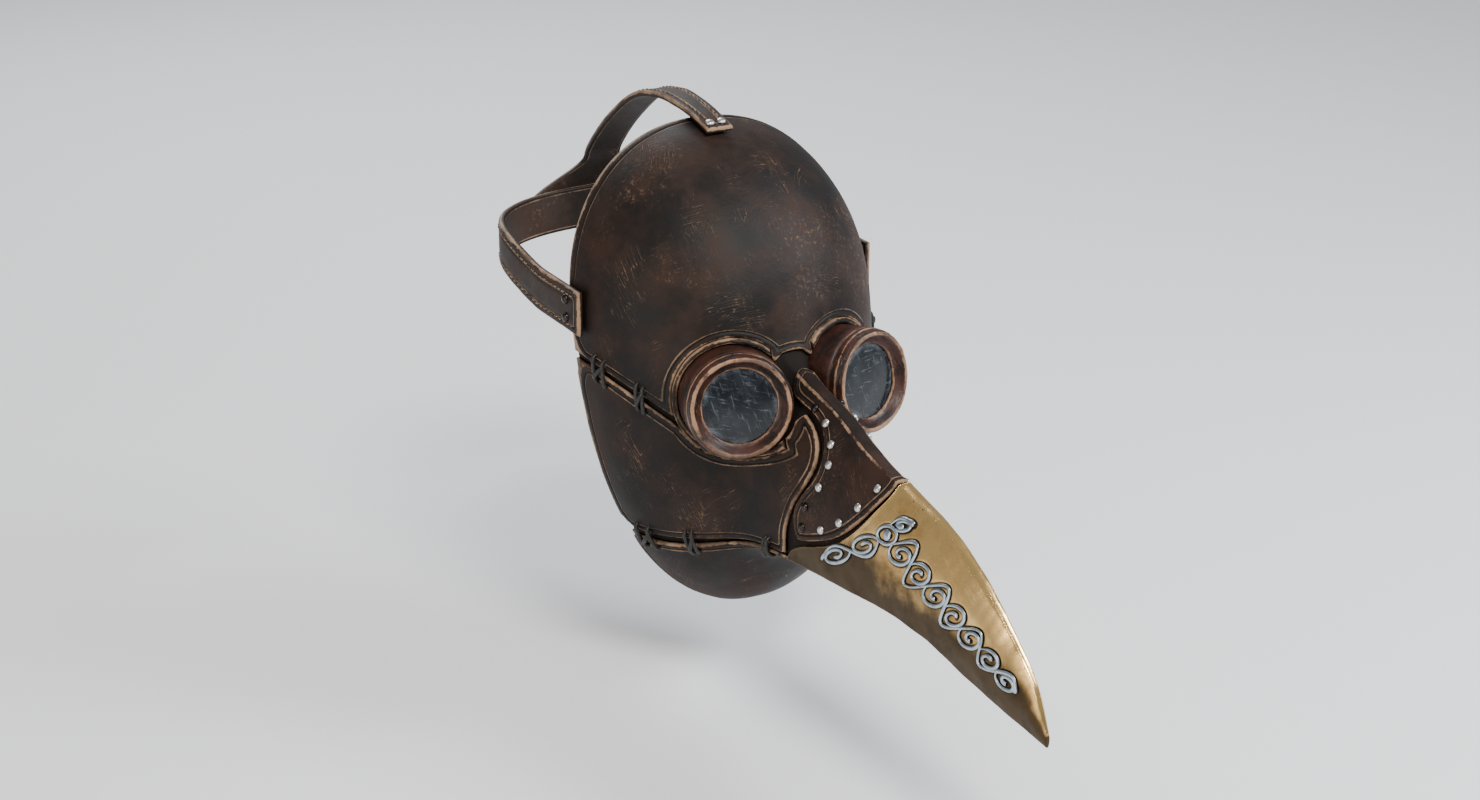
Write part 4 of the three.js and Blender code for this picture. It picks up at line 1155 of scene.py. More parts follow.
# ---------------------------------------------------------------- leather panels
@dataclass(frozen=True)
class Panel:
    """A panel of the shell: a patch of the skin with rounded edges and a tooled line beside them."""

    node: str
    outline: Array
    cells: tuple[int, int]
    material: bpy.types.Material
    eyes: tuple[Eye, ...] = ()
    collar: bool = True
    crease: bool = False
    seed: int = 1
    LEVELS = (0.12, 0.35, 0.7, 1.1, 2.2, 2.55, 2.9, 3.25, 3.6, 4.3)
    ROUND = 1.1
    GROOVE = (2.9, 0.7, 0.5)

    def build(self) -> bpy.types.Object:
        """Makes the panel."""
        low, high = self.outline.min(0), self.outline.max(0)
        s = np.linspace(low[0], high[0], self.cells[0] + 1)
        g = np.linspace(low[1], high[1], self.cells[1] + 1)
        places = np.stack(np.meshgrid(s, g, indexing="ij"), axis=-1).reshape(-1, 2)
        border = SKIN.at(self.outline[:, 0], self.outline[:, 1])
        points = SKIN.at(places[:, 0], places[:, 1])
        within = inside(places, self.outline) | self._on_border(places, low, high)
        distance = line_distance(points, border) * np.where(within, 1, -1)
        for eye in self.eyes:
            distance = np.minimum(distance, eye.clear(points, self.collar))
        cutter = FieldCutter(places, distance, grid_faces(len(s), len(g)))
        cutter.cut(0.0, keep_low=False)
        for level in self.LEVELS:
            cutter.cut(level)
        places, edge, faces = cutter.result()
        return finish_piece(self._sheet(places, edge, faces).mesh(self.node), self.material,
                            replaces=(self.node,))

    def _on_border(self, places: Array, low: Array, high: Array) -> Array:
        """Places on the straight sides of the outline that inside() may leave out."""
        tiny = 1e-9
        at_rim = np.abs(places[:, 0] - 1) < tiny
        between = inside(places - (1e-4, 0), self.outline)
        return at_rim & between

    def _sheet(self, places: Array, edge: Array, faces: list[list[int]]) -> Shape:
        """Closed sheet with the relief of its edges and grain."""
        rounding = np.clip(self.ROUND - edge, 0, self.ROUND)
        over = -(self.ROUND - np.sqrt(np.maximum(self.ROUND**2 - rounding**2, 0)))
        centre, half, depth = self.GROOVE
        over = over - depth * (1 - smoothstep(0, half, np.abs(edge - centre)))
        flat = SKIN.at(places[:, 0], places[:, 1])
        calm = smoothstep(0.0, 6.0, edge)
        over = over + calm * (0.22 * ripple(flat, 42, self.seed) - 0.22 + 0.06 * ripple(flat, 13, self.seed + 1))
        top = SKIN.at(places[:, 0], places[:, 1], over)
        bottom = SKIN.at(places[:, 0], places[:, 1], -LEATHER)
        bend = np.abs(np.abs(places[:, 1]) - SKIN.ridge_girth) * 100 if self.crease else np.full(len(edge), 99.0)
        return doubled(top, bottom, faces, {"edge": edge, "crease": bend})


@dataclass(frozen=True)
class Lining:
    """The stiff lining behind the panels, open at both ends and bored for the eyepieces."""

    start: float = -0.12
    over: float = -2.65
    cells: tuple[int, int] = (70, 220)

    def build(self) -> bpy.types.Object:
        """Makes the lining."""
        s = self.start + (1 - self.start) * np.linspace(0, 1, self.cells[0] + 1)
        g = np.linspace(-1, 1, self.cells[1], endpoint=False)
        places = np.stack(np.meshgrid(s, g, indexing="ij"), axis=-1).reshape(-1, 2)
        points = SKIN.at(places[:, 0], places[:, 1])
        within_wall = 2.2
        distance = np.minimum(*(eye.clear(points, False) + within_wall for eye in EYES))
        cutter = FieldCutter(places, distance, grid_faces(len(s), len(g), loop=True))
        cutter.cut(0.0, keep_low=False)
        cutter.cut(0.8)
        places, edge, faces = cutter.result()
        top = SKIN.at(places[:, 0], places[:, 1], self.over)
        calm = np.clip((1 - places[:, 0]) * 12, 0, 1)
        relief = 0.1 * calm * ripple(top, 30, 12)
        bottom = SKIN.at(places[:, 0], places[:, 1], LINING_UNDER + relief)
        rim = np.minimum(edge, (1 - places[:, 0]) * 100)
        # outer is 1 on the top face: painted shade, near black, where the lining shows through the seams
        shape = doubled(top, bottom, faces, {"edge": rim + 2.4, "crease": np.full(len(rim), 99.0),
                                             "outer": np.ones(len(rim))})
        return finish_piece(shape.mesh("face_lining"), WARDROBE.lining, replaces=("face_lining",))


# ---------------------------------------------------------------- eyepieces
def softened(profile: Sequence[Sequence[float]], gap: float = 0.45) -> Array:
    """Closed profile with its corners rounded and its points a gap apart."""
    corners = np.array(profile, float)
    line = even(np.vstack([corners, corners[:1]]), gap)[:-1]
    for _ in range(2):
        line = (np.roll(line, 1, axis=0) + 2 * line + np.roll(line, -1, axis=0)) / 4
    return line


def revolve(eye: Eye, profile: Array, worn: Array, segments: int, wobble: float = 0.0) -> Shape:
    """Closed ring of a profile of radius and height, with "edge" as the distance from its worn corners."""
    angle = np.arange(segments) / segments * 2 * math.pi
    r = np.repeat(profile[:, :1], segments, axis=1)
    h = np.repeat(profile[:, 1:], segments, axis=1)
    a = np.repeat(angle[None, :], len(profile), axis=0)
    if wobble:
        place = np.stack([r * np.cos(a), r * np.sin(a), h * 3], axis=-1)
        push = wobble * (ripple(place, 9, 21) + 0.5 * ripple(place, 3.5, 22))
        outer = smoothstep(-7.5, -5.5, h)
        r, h = r + push * outer * 0.4, h + push * outer - wobble * 1.5 * outer
    points = eye.place(r, a, h).reshape(-1, 3)
    distance = np.min(np.linalg.norm(profile[:, None] - worn[None], axis=-1), axis=1)
    faces = grid_faces(len(profile), segments, loop=True)
    last = (len(profile) - 1) * segments
    faces += [[last + i, last + (i + 1) % segments, (i + 1) % segments, i] for i in range(segments)]
    return Shape(points, faces, {"edge": np.repeat(distance, segments)})


@dataclass(frozen=True)
class Eyepiece:
    """Cup, collar, screw-in bezel, lens and gasket of one eye."""

    eye: Eye
    segments: int = 192

    def build(self) -> list[bpy.types.Object]:
        """Makes the pieces."""
        label = self.eye.side.label
        carrier = f"lens_carrier_{label}"
        bezel = finish_piece(self._bezel().mesh(f"eye_bezel_{label}"), WARDROBE.bezel, f"bezel_{label}",
                             (f"eye_bezel_{label}",))
        cup = finish_piece(self._cup().mesh(f"eye_cup_{label}"), WARDROBE.bezel, BODY,
                           (f"eye_cup_{label}",))
        collar = finish_piece(self._collar().mesh(f"eye_collar_{label}"), WARDROBE.collar, BODY,
                              (f"eye_collar_{label}",))
        lens = finish_piece(self._lens().mesh(f"eye_lens_{label}"), WARDROBE.glass, carrier,
                            (f"eye_lens_{label}",))
        seal = softened([(16.7, -8.4), (18.9, -8.4), (18.9, -10.8), (16.7, -10.8)])
        gasket = finish_piece(revolve(self.eye, seal, seal[:1], 96).mesh(f"lens_gasket_{label}"), WARDROBE.rubber,
                              carrier, (f"lens_gasket_{label}",))
        return [bezel, cup, collar, lens, gasket]

    def _bezel(self) -> Shape:
        """The screwed ring that holds the lens."""
        profile = softened([
            (21.2, -8.0), (21.2, -13.0), (19.2, -13.0), (19.2, -5.6), (17.9, -5.6), (17.9, -4.7), (18.5, -4.2),
            (19.4, -3.7), (21.9, -0.6), (22.6, -0.15), (23.5, -0.1), (24.2, -0.7), (24.7, -1.7), (25.1, -3.6),
            (25.4, -4.6), (25.4, -7.95),
        ], 0.4)
        worn = np.array([(22.6, -0.1), (23.6, -0.1), (18.1, -4.5), (25.3, -7.9), (25.3, -4.3)])
        return revolve(self.eye, profile, worn, self.segments, wobble=0.16)

    def _cup(self) -> Shape:
        """Tube from under the bezel down to the lining, its lower end following the skin."""
        count = self.segments
        angle = np.arange(count) / count * 2 * math.pi
        crest, _, sight, _ = self.eye.axes
        rings, edges = [], []
        levels = np.array([0, 0.1, 0.3, 0.5, 0.7, 0.88, 0.97, 1.0])
        top = -(self.eye.bezel_height + 0.3)
        walls = ((self.eye.cup_radius, levels), (self.eye.cup_bore, levels[::-1]))
        for radius, shares in walls:
            station, girth = self.eye.skin_under(radius, angle)
            facing = np.maximum(SKIN.normal(station, girth) @ sight, 0.4)
            foot = (SKIN.at(station, girth) - crest) @ sight + (LINING_UNDER - 0.2) / facing
            for share in shares:
                inset = 0.35 if share in (0.0,) else 0.0
                pull = -inset if radius == self.eye.cup_radius else inset
                rings.append(self.eye.place(radius + pull, angle, top + share * (foot - top)))
                edges.append(np.full(count, 9.0) if share > 0 else np.full(count, 0.8))
        faces = grid_faces(len(rings), count, loop=True)
        last = (len(rings) - 1) * count
        faces += [[last + i, last + (i + 1) % count, (i + 1) % count, i] for i in range(count)]
        return Shape(np.vstack(rings), faces, {"edge": np.concatenate(edges)})

    def _collar(self) -> Shape:
        """Rolled leather ring round the cup, open towards the nose."""
        count = 170
        radii = np.array([26.2, 26.3, 26.6, 27.0, 27.5, 28.0, 28.35, 28.62, 28.7])
        lift = np.array([-0.3, 0.35, 0.8, 1.0, 1.0, 0.85, 0.55, 0.0, -0.7])
        rows, edges = [], []
        for radius, over in zip(radii, lift):
            limit = math.acos((self.eye.nose_reach - 0.6) / radius)
            angle = np.linspace(limit, 2 * math.pi - limit, count)
            station, girth = self.eye.skin_under(radius, angle)
            top = SKIN.at(station, girth, over)
            rows.append((top + 0.08 * ripple(top, 5, 31)[:, None], SKIN.at(station, girth, -LEATHER)))
            edges.append(np.full(count, min(radius - 26.2, 28.7 - radius) * 0.75))
        top = np.vstack([r[0] for r in rows])
        bottom = np.vstack([r[1] for r in rows])
        attributes = {"edge": np.concatenate(edges), "crease": np.full(len(top), 99.0)}
        return doubled(top, bottom, grid_faces(len(radii), count), attributes)

    def _lens(self) -> Shape:
        """Slightly domed disc of glass."""
        count, radius, top, dome = 96, 18.9, -5.9, 0.9
        shares = np.linspace(0.04, 1, 16)
        angle = np.arange(count) / count * 2 * math.pi
        rings = [self.eye.place(radius * s, angle, top + dome * (1 - s * s)) for s in shares]
        rings += [self.eye.place(radius * s, angle, top - 2.2 + 0.6 * dome * (1 - s * s)) for s in shares[::-1]]
        edge = np.concatenate([np.full(count, radius * (1 - s)) for s in (*shares, *shares[::-1])])
        faces = grid_faces(len(rings), count, loop=True)
        faces += [list(range(count)), list(range((len(rings) - 1) * count, len(rings) * count))]
        return Shape(np.vstack(rings), faces, {"edge": edge})


# ---------------------------------------------------------------- scrollwork
@dataclass(frozen=True)
class Scrollwork:
    """Raised silver scrolls on both sides of the brass, drawn flat on the wearer's right and mirrored."""

    origin: Array = field(default_factory=lambda: np.array([-12.8, -187.57, -56.57]))
    right: Array = field(default_factory=lambda: np.array([0.8746, -0.4848, 0.0]))
    up: Array = field(default_factory=lambda: np.array([0.1737, 0.3135, 0.9336]))
    width: float = 1.05
    height: float = 0.75
    ring_radius: float = 4.1
    boss_radius: float = 2.7
    curl_turns: float = 1.35
    curl_close: float = 0.78

    def _vine(self, start: Sequence[float], end: Sequence[float], reach: Sequence[float], bays: int) -> list[Array]:
        """A stem that waves from one point to another, with a curl in every bay.

        Args:
            start: where the stem starts.
            end: where it ends.
            reach: how far it swings at its start and at its end.
            bays: half waves along it.

        Returns:
            The stem and its curls.
        """
        first, run = np.array(start, float), np.subtract(end, start).astype(float)
        along = unit(run)
        aside = np.array([-along[1], along[0]])
        share = np.linspace(0, 1, 40 * bays)
        swing = np.interp(share, (0, 1), reach) * np.sin(math.pi * bays * share)
        lines = [first + share[:, None] * run + swing[:, None] * aside]
        radius = np.linalg.norm(run) / bays / 2
        wound = np.linspace(0, 1, 60)
        turn, left = 2 * math.pi * self.curl_turns * wound, radius * (1 - self.curl_close * wound)
        for bay in range(bays):
            middle = (bay + 0.5) / bays
            squash = min(1.0, np.interp(middle, (0, 1), reach) / radius)
            hand = 1 - 2 * (bay % 2)
            curl = -(left * np.cos(turn))[:, None] * along - (hand * squash * left * np.sin(turn))[:, None] * aside
            lines.append(first + middle * run + curl)
        return lines

    def __post_init__(self) -> None:
        """Wraps every stroke onto the skin once."""
        drawing = Drawing(self.origin, self.right, self.up, (-2.2, -0.3), (-0.82, -0.03))
        vines = (self._vine((2.5, -4), (52, -65), (8.5, 3), 7) + self._vine((-3.5, -3), (-28, -13), (5, 4), 2)
                 + self._vine((1.5, 4.5), (11.5, 5), (3, 3), 1))
        lines = [even(vine, 0.6) for vine in vines]
        circle = np.linspace(0, 2 * math.pi, 61)[:-1]
        ring = self.ring_radius * np.stack([np.cos(circle), np.sin(circle)], axis=1)
        object.__setattr__(self, "lines", [np.stack(drawing.locate(line), axis=1) for line in lines])
        object.__setattr__(self, "ring", np.stack(drawing.locate(ring), axis=1))
        object.__setattr__(self, "centre", np.stack(drawing.locate(np.zeros((1, 2))), axis=1)[0])

    def _widths(self, count: int) -> Array:
        """Half width along a stroke: thin where it starts, full along it, with a bulb at its curled end."""
        run = np.arange(count) * 0.6
        left = run[-1] - run
        bulb = 0.45 * np.exp(-(((left - 1.3) / 1.2) ** 2))
        return self.width * (0.55 + 0.45 * smoothstep(0, 7, run)) * (0.82 + 0.18 * np.sin(run / 7.5)) + bulb

    def chase(self, points: Array) -> Array:
        """Distance of points on the wearer's right from the nearest edge of the scrolls."""
        rows = []
        for line in self.lines:
            rows.append(np.column_stack([SKIN.at(line[:, 0], line[:, 1]), self._widths(len(line))]))
        rows.append(np.column_stack([SKIN.at(self.ring[:, 0], self.ring[:, 1]), np.full(len(self.ring), 0.9)]))
        middle = SKIN.at(self.centre[0], self.centre[1])
        rows.append(np.array([[*middle, self.boss_radius]]))
        table = np.vstack(rows)
        tree = kdtree.KDTree(len(table))
        for index, row in enumerate(table):
            tree.insert(row[:3], index)
        tree.balance()
        result = np.empty(len(points))
        for index, point in enumerate(points):
            near = tree.find_n(point, 3)
            result[index] = min(distance - table[i, 3] for _, i, distance in near)
        return result

    def build(self, side: Side) -> bpy.types.Object:
        """Makes one side's scrolls as one piece."""
        shape: Optional[Shape] = None
        for line in self.lines:
            part = self._band(line * (1, -side.value), self._widths(len(line)), closed=False)
            shape = part if shape is None else shape.join(part)
        ring = self._band(self.ring * (1, -side.value), np.full(len(self.ring), 0.95), closed=True)
        shape = shape.join(ring).join(self._boss(side))
        label = side.label
        return finish_piece(shape.mesh(f"beak_scrolls_{label}"), WARDROBE.silver)

    def _band(self, line: Array, half: Array, closed: bool) -> Shape:
        """Rounded band along a line on the skin."""
        centre = SKIN.at(line[:, 0], line[:, 1])
        if closed:
            along = unit(np.roll(centre, -1, axis=0) - np.roll(centre, 1, axis=0))
        else:
            along = unit(np.gradient(centre, axis=0))
        normal = SKIN.normal(line[:, 0], line[:, 1])
        across = unit(np.cross(normal, along))
        out = unit(np.cross(along, across))
        section = ((-1.0, -0.3), (-0.96, 0.22), (-0.72, 0.62), (-0.35, 0.92), (0.0, 1.0), (0.35, 0.92), (0.72, 0.62),
                   (0.96, 0.22), (1.0, -0.3))
        count = len(line)
        points = np.stack([
            centre + across * (half * x)[:, None] + out * (self.height * y * (0.75 + 0.25 * half / self.width))[:, None]
            for x, y in section
        ], axis=1).reshape(-1, 3)
        rise = np.tile([max(self.height * y, 0) for _, y in section], count)
        width = len(section)
        faces = grid_faces(count, width, loop=True)
        last = (count - 1) * width
        if closed:
            faces += [[last + i, last + (i + 1) % width, (i + 1) % width, i] for i in range(width)]
        else:
            faces += [list(range(width)), list(range(last, last + width))]
        return Shape(points, faces, {"rise": rise})

    def _boss(self, side: Side) -> Shape:
        """Domed disc in the middle of the ring."""
        station, girth = self.centre[0], -side.value * self.centre[1]
        middle = SKIN.at(station, girth)
        normal = SKIN.normal(station, girth)
        first = unit(np.cross(normal, np.array([0.0, 0.0, 1.0])))
        second = np.cross(normal, first)
        angle = np.arange(32) / 32 * 2 * math.pi
        rows = ((1.0, -0.3), (1.0, 0.25), (0.85, 0.6), (0.55, 0.85), (0.22, 0.95))
        rings, rise = [], []
        for share, height in rows:
            r = self.boss_radius * share
            circle = middle + r * (np.cos(angle)[:, None] * first + np.sin(angle)[:, None] * second)
            rings.append(circle + normal * height)
            rise += [max(height, 0)] * 32
        faces = grid_faces(len(rows), 32, loop=True)
        faces += [list(range(32)), list(range((len(rows) - 1) * 32, len(rows) * 32))]
        return Shape(np.vstack(rings), faces, {"rise": np.array(rise)})


# ---------------------------------------------------------------- brass tip
@dataclass(frozen=True)
class BrassTip:
    """Hollow brass beak tip with a thick rear lip, chased round its scrolls."""

    scrolls: Scrollwork
    rows: int = 230
    inner_rows: int = 20
    solid_from: float = 261.0
    end: float = 299.0
    groove_depth: float = 0.28

    def _girths(self) -> Array:
        """Girths once round, close together beside the four creases."""
        top = np.array([-0.03, -0.015, 0.0, 0.015, 0.03])
        near = np.array([0.004, 0.009, 0.016])
        side = np.linspace(0.085, 0.755, 86)
        half = np.concatenate([0.06 - near[::-1], 0.06 + near, side, 0.78 - near[::-1], 0.78 + near,
                               np.linspace(0.81, 0.985, 10)])
        half = np.unique(np.concatenate([top[top > 0], half]))
        return np.concatenate([-half[::-1], [0.0], half])

    def build(self) -> bpy.types.Object:
        """Makes the tip."""
        girth = self._girths()
        rear_track = Track([
            *((g * 1.032, s - 0.02) for s, g in SADDLE_FRONT), (0.74, -0.37), (0.80, -0.34), (1, -0.34),
        ])
        rear = rear_track(np.abs(girth))[:, 0]
        tip = SKIN.station_at(self.end, girth)
        deep = SKIN.station_at(self.solid_from, girth)
        lip = [(0.055, 0.0), (0.02, 0.45), (0.0, 0.85), (0.0, 1.75), (0.02, 2.3), (0.06, 2.6)]
        inner = np.linspace(0, 1, self.inner_rows) ** 0.8
        stations, overs = [], []
        for share in inner[:-1]:
            station = deep + (rear - deep) * share
            past = smoothstep(7.0, 10.0, (rear - station) * SKIN.step)
            stations.append(station)
            overs.append(-(LEATHER + (BRASS_WALL - LEATHER) * past))
        for back, depth in reversed(lip):
            stations.append(rear - back * 0.12)
            overs.append(np.full(len(girth), -depth))
        outer_start = len(stations)
        for share in np.linspace(0, 1, self.rows + 1)[1:]:
            stations.append(rear + (tip - rear) * share)
            overs.append(np.zeros(len(girth)))
        station, over = np.array(stations), np.array(overs)
        around = np.broadcast_to(girth, station.shape)
        flat = SKIN.at(station, around)
        away = np.full(station.shape, 9.0)
        on_side = np.abs(np.abs(around) - 0.42) < 0.375
        mirror = np.where(around[..., None] > 0, flat * (-1, 1, 1), flat)
        chosen = on_side & (np.arange(len(station))[:, None] >= outer_start - 1)
        away[chosen] = self.scrolls.chase(mirror[chosen])
        over = over - self.groove_depth * (1 - smoothstep(0.1, 0.9, away)) * (away > -0.9)
        hammered = 0.09 * ripple(flat, 17, 41) + 0.04 * ripple(flat, 6, 42)
        over = over + np.where(np.arange(len(station))[:, None] > outer_start + 2, hammered - 0.1, 0)
        points = SKIN.at(station, around, over)
        across = self._crease_distance(station, around)
        # low carries painted shade: higher towards the keel and the tip, and set high on the inner wall
        low = np.clip((np.abs(around) - SKIN.ridge_girth) / (SKIN.edge_girth - SKIN.ridge_girth), 0, 1)
        low = low + 0.55 * smoothstep(0.45, 1.0, (rear - station) / (rear - tip)) - 0.1
        edge = (rear - station) * SKIN.step
        inner_mask = np.arange(len(station))[:, None] < outer_start - 3
        low = np.where(inner_mask, 0.9, low)
        faces = grid_faces(len(station), len(girth), loop=True)
        last = (len(station) - 1) * len(girth)
        faces += [list(range(len(girth))), list(range(last, last + len(girth)))]
        attributes = {"crease": across, "low": low, "chase": away, "edge": np.maximum(edge, 0)}
        shape = Shape(points.reshape(-1, 3), faces, {k: v.reshape(-1) for k, v in attributes.items()})
        return finish_piece(shape.mesh("beak_tip"), WARDROBE.brass, replaces=("beak_tip",))

    @staticmethod
    def _crease_distance(station: Array, girth: Array) -> Array:
        """Distance in millimetres from the ridge's crease on each side."""
        sign = np.where(girth < 0, -1.0, 1.0)
        crease = SKIN.at(station, sign * SKIN.ridge_girth)
        return np.linalg.norm(SKIN.at(station, girth) - crease, axis=-1)


# ---------------------------------------------------------------- straps
@dataclass(frozen=True)
class Ribbon:
    """A leather strap from its middle face: points, outward directions and distance from its edges."""

    points: Array
    outward: Array
    edge: Array
    thickness: float = 3.2
    round: float = 1.2
    groove: tuple[float, float, float] = (3.4, 0.55, 0.45)
    seed: int = 3

    def shape(self) -> Shape:
        """Closed sheet with rounded edges and tooled lines."""
        rows, columns, _ = self.points.shape
        edge = self.edge.reshape(-1)
        rounding = np.clip(self.round - edge, 0, self.round)
        drop = self.round - np.sqrt(np.maximum(self.round**2 - rounding**2, 0))
        centre, half, depth = self.groove
        line = depth * (1 - smoothstep(0, half, np.abs(edge - centre)))
        second = 0.6 * depth * (1 - smoothstep(0, half, np.abs(edge - centre - 1.5)))
        flat, out = self.points.reshape(-1, 3), self.outward.reshape(-1, 3)
        over = self.thickness / 2 - drop - line - second + 0.08 * (ripple(flat, 18, self.seed) - 1)
        top = flat + out * over[:, None]
        bottom = flat - out * (self.thickness / 2 - 0.6 * drop)[:, None]
        return doubled(top, bottom, grid_faces(rows, columns), {"edge": edge, "crease": np.full(len(edge), 99.0)})


EDGE_STEPS = np.array([0, 0.12, 0.35, 0.7, 1.1, 1.9, 2.7, 3.0, 3.4, 3.8, 4.3, 4.9, 5.3])


def across_places(half: float, middle: int = 8) -> Array:
    """Offsets across a strap, close together beside its edges."""
    steps = EDGE_STEPS[EDGE_STEPS < half - 0.6]
    inner = np.linspace(-(half - steps[-1]), half - steps[-1], middle + 2)[1:-1]
    return np.concatenate([-(half - steps), inner, (half - steps)[::-1]])


STRAP_HALF = 78.3 + 1.6


def strap_back(x: Array) -> Array:
    """How far back the head strap's middle line lies at x."""
    n = 2.6
    return 50 + 66 * np.maximum(1 - np.minimum(np.abs(x) / STRAP_HALF, 1) ** n, 0) ** (1 / n)


def head_strap() -> tuple[Ribbon, Array]:
    """The strap round the head, and its middle line."""
    start, width = -16.0, 22.0
    angle = np.linspace(0, math.pi / 2, 90)
    x = -STRAP_HALF * np.cos(angle) ** (2 / 2.6)
    half = np.vstack([np.stack([np.full(40, -STRAP_HALF), np.linspace(start, 49, 40)], axis=1),
                      np.stack([x, strap_back(x)], axis=1)])
    flat = even(np.vstack([half, (half * (-1, 1))[::-1][1:]]), 0.8)
    run = np.concatenate([[0], np.cumsum(np.linalg.norm(np.diff(flat, axis=0), axis=1))])
    keep = EDGE_STEPS[EDGE_STEPS < 5]
    at = np.unique(np.concatenate([keep, np.arange(6.0, run[-1] - 6, 1.4), run[-1] - keep]))
    flat = np.stack([np.interp(at, run, flat[:, k]) for k in range(2)], axis=1)
    z = 6.4 + 8 * smoothstep(22, 80, flat[:, 1])
    line = np.column_stack([flat, z])
    forward = unit(np.gradient(line, axis=0))
    outward = unit(np.stack([-forward[:, 1], forward[:, 0], np.zeros(len(line))], axis=1))
    rise = np.cross(forward, outward)
    rise = rise * np.where(rise[:, 2:] < 0, -1, 1)
    offsets = across_places(width / 2, 6)
    points = line[:, None] + rise[:, None] * offsets[None, :, None]
    edge = np.minimum(width / 2 - np.abs(offsets)[None, :], np.minimum(at, at[-1] - at)[:, None])
    return Ribbon(points, np.repeat(outward[:, None], len(offsets), axis=1), edge), line


def crown_strap() -> Ribbon:
    """The strap over the crown, flaring into the yoke on the head strap."""
    back = float(strap_back(np.array(0.0))) + 1.6 + 0.3 + 0.6 + 1.6
    rows = [(-9, 84.8), (6, 88.6), (22, 90.8), (42, 91), (66, 85), (92, 68), (back - 8, 50), (back, 38),
            (back, 19.5), (back, 5)]
    line = even(spline(rows, 40), 0.4)
    run = np.linspace(0, 1, len(line))
    length = float(np.linalg.norm(np.diff(line, axis=0), axis=1).sum())
    keep = EDGE_STEPS[EDGE_STEPS < 5]
    at = np.unique(np.concatenate([keep, np.arange(6.0, length - 6, 1.3), length - keep]))
    b = at / length
    y, z = np.interp(b, run, line[:, 0]), np.interp(b, run, line[:, 1])
    behind = y > float(strap_back(np.array(0.0))) / 2
    flare = np.where(behind, smoothstep(0, 22, 40 - z), 0)
    straight_half = 7 + 3 * smoothstep(0, 0.6, b)
    half = straight_half + (46 - straight_half) * flare
    steps = EDGE_STEPS[EDGE_STEPS < 6.2]
    inner = np.linspace(-1, 1, 24)[1:-1]
    reach = half - steps[-1]
    offsets = np.concatenate([-(half[:, None] - steps[None]), reach[:, None] * inner[None],
                              (half[:, None] - steps[None])[:, ::-1]], axis=1)
    wrap = np.where(behind, smoothstep(0, 30, 60 - z), 0)
    push = (strap_back(offsets) - float(strap_back(np.array(0.0)))) * wrap[:, None]
    points = np.stack([offsets, y[:, None] + push, np.broadcast_to(z[:, None], offsets.shape)], axis=-1)
    along = np.gradient(points, axis=0)
    across = np.gradient(points, axis=1)
    outward = unit(np.cross(across, along))
    edge = np.minimum(half[:, None] - np.abs(offsets), np.minimum(at, at[-1] - at)[:, None])
    return Ribbon(points, outward, edge, seed=5)


# ---------------------------------------------------------------- repeated pieces, by Geometry Nodes
class NodeTree:
    """Adds and links the nodes of a Geometry Nodes tree with named inputs."""

    def __init__(self, name: str, inputs: Sequence[tuple[str, str]]) -> None:
        """Makes the tree with its inputs, after Geometry, as (name, socket type)."""
        self.tree = bpy.data.node_groups.new(name, "GeometryNodeTree")
        self.tree.interface.new_socket("Geometry", in_out="INPUT", socket_type="NodeSocketGeometry")
        self.sockets = {
            label: self.tree.interface.new_socket(label, in_out="INPUT", socket_type=kind) for label, kind in inputs
        }
        self.tree.interface.new_socket("Geometry", in_out="OUTPUT", socket_type="NodeSocketGeometry")
        self.inputs = self.tree.nodes.new("NodeGroupInput").outputs

    def add(self, kind: str, inputs: Optional[dict] = None, **settings: object) -> bpy.types.Node:
        """Adds a node with its settings and inputs."""
        node = self.tree.nodes.new(kind)
        for key, value in settings.items():
            setattr(node, key, value)
        for key, value in (inputs or {}).items():
            if isinstance(value, bpy.types.NodeSocket):
                self.tree.links.new(value, node.inputs[key])
            else:
                node.inputs[key].default_value = value
        return node

    def finish(self, geometry: Socket) -> None:
        """Ends the tree in Realize Instances and Set Material."""
        real = self.add("GeometryNodeRealizeInstances", {"Geometry": geometry})
        dressed = self.add("GeometryNodeSetMaterial",
                           {"Geometry": real.outputs[0], "Material": self.inputs["Material"]})
        self.add("NodeGroupOutput", {"Geometry": dressed.outputs[0]})

    def make(self, name: str, guide: bpy.types.Object, values: dict[str, object]) -> bpy.types.Object:
        """Runs the tree on a guide and keeps its result as a plain mesh.

        Args:
            name: the new piece's name.
            guide: object that carries the guide points; it is removed.
            values: the tree's inputs by name.

        Returns:
            The new object.
        """
        modifier = guide.modifiers.new("repeat", "NODES")
        modifier.node_group = self.tree
        for label, value in values.items():
            modifier[self.sockets[label].identifier] = value
        graph = bpy.context.evaluated_depsgraph_get()
        graph.update()
        data = bpy.data.meshes.new_from_object(guide.evaluated_get(graph), depsgraph=graph)
        guide.modifiers.remove(modifier)
        data.name = name
        obj = bpy.data.objects.new(name, data)
        bpy.context.scene.collection.objects.link(obj)
        bpy.data.objects.remove(guide)
        data.shade_smooth()
        return obj


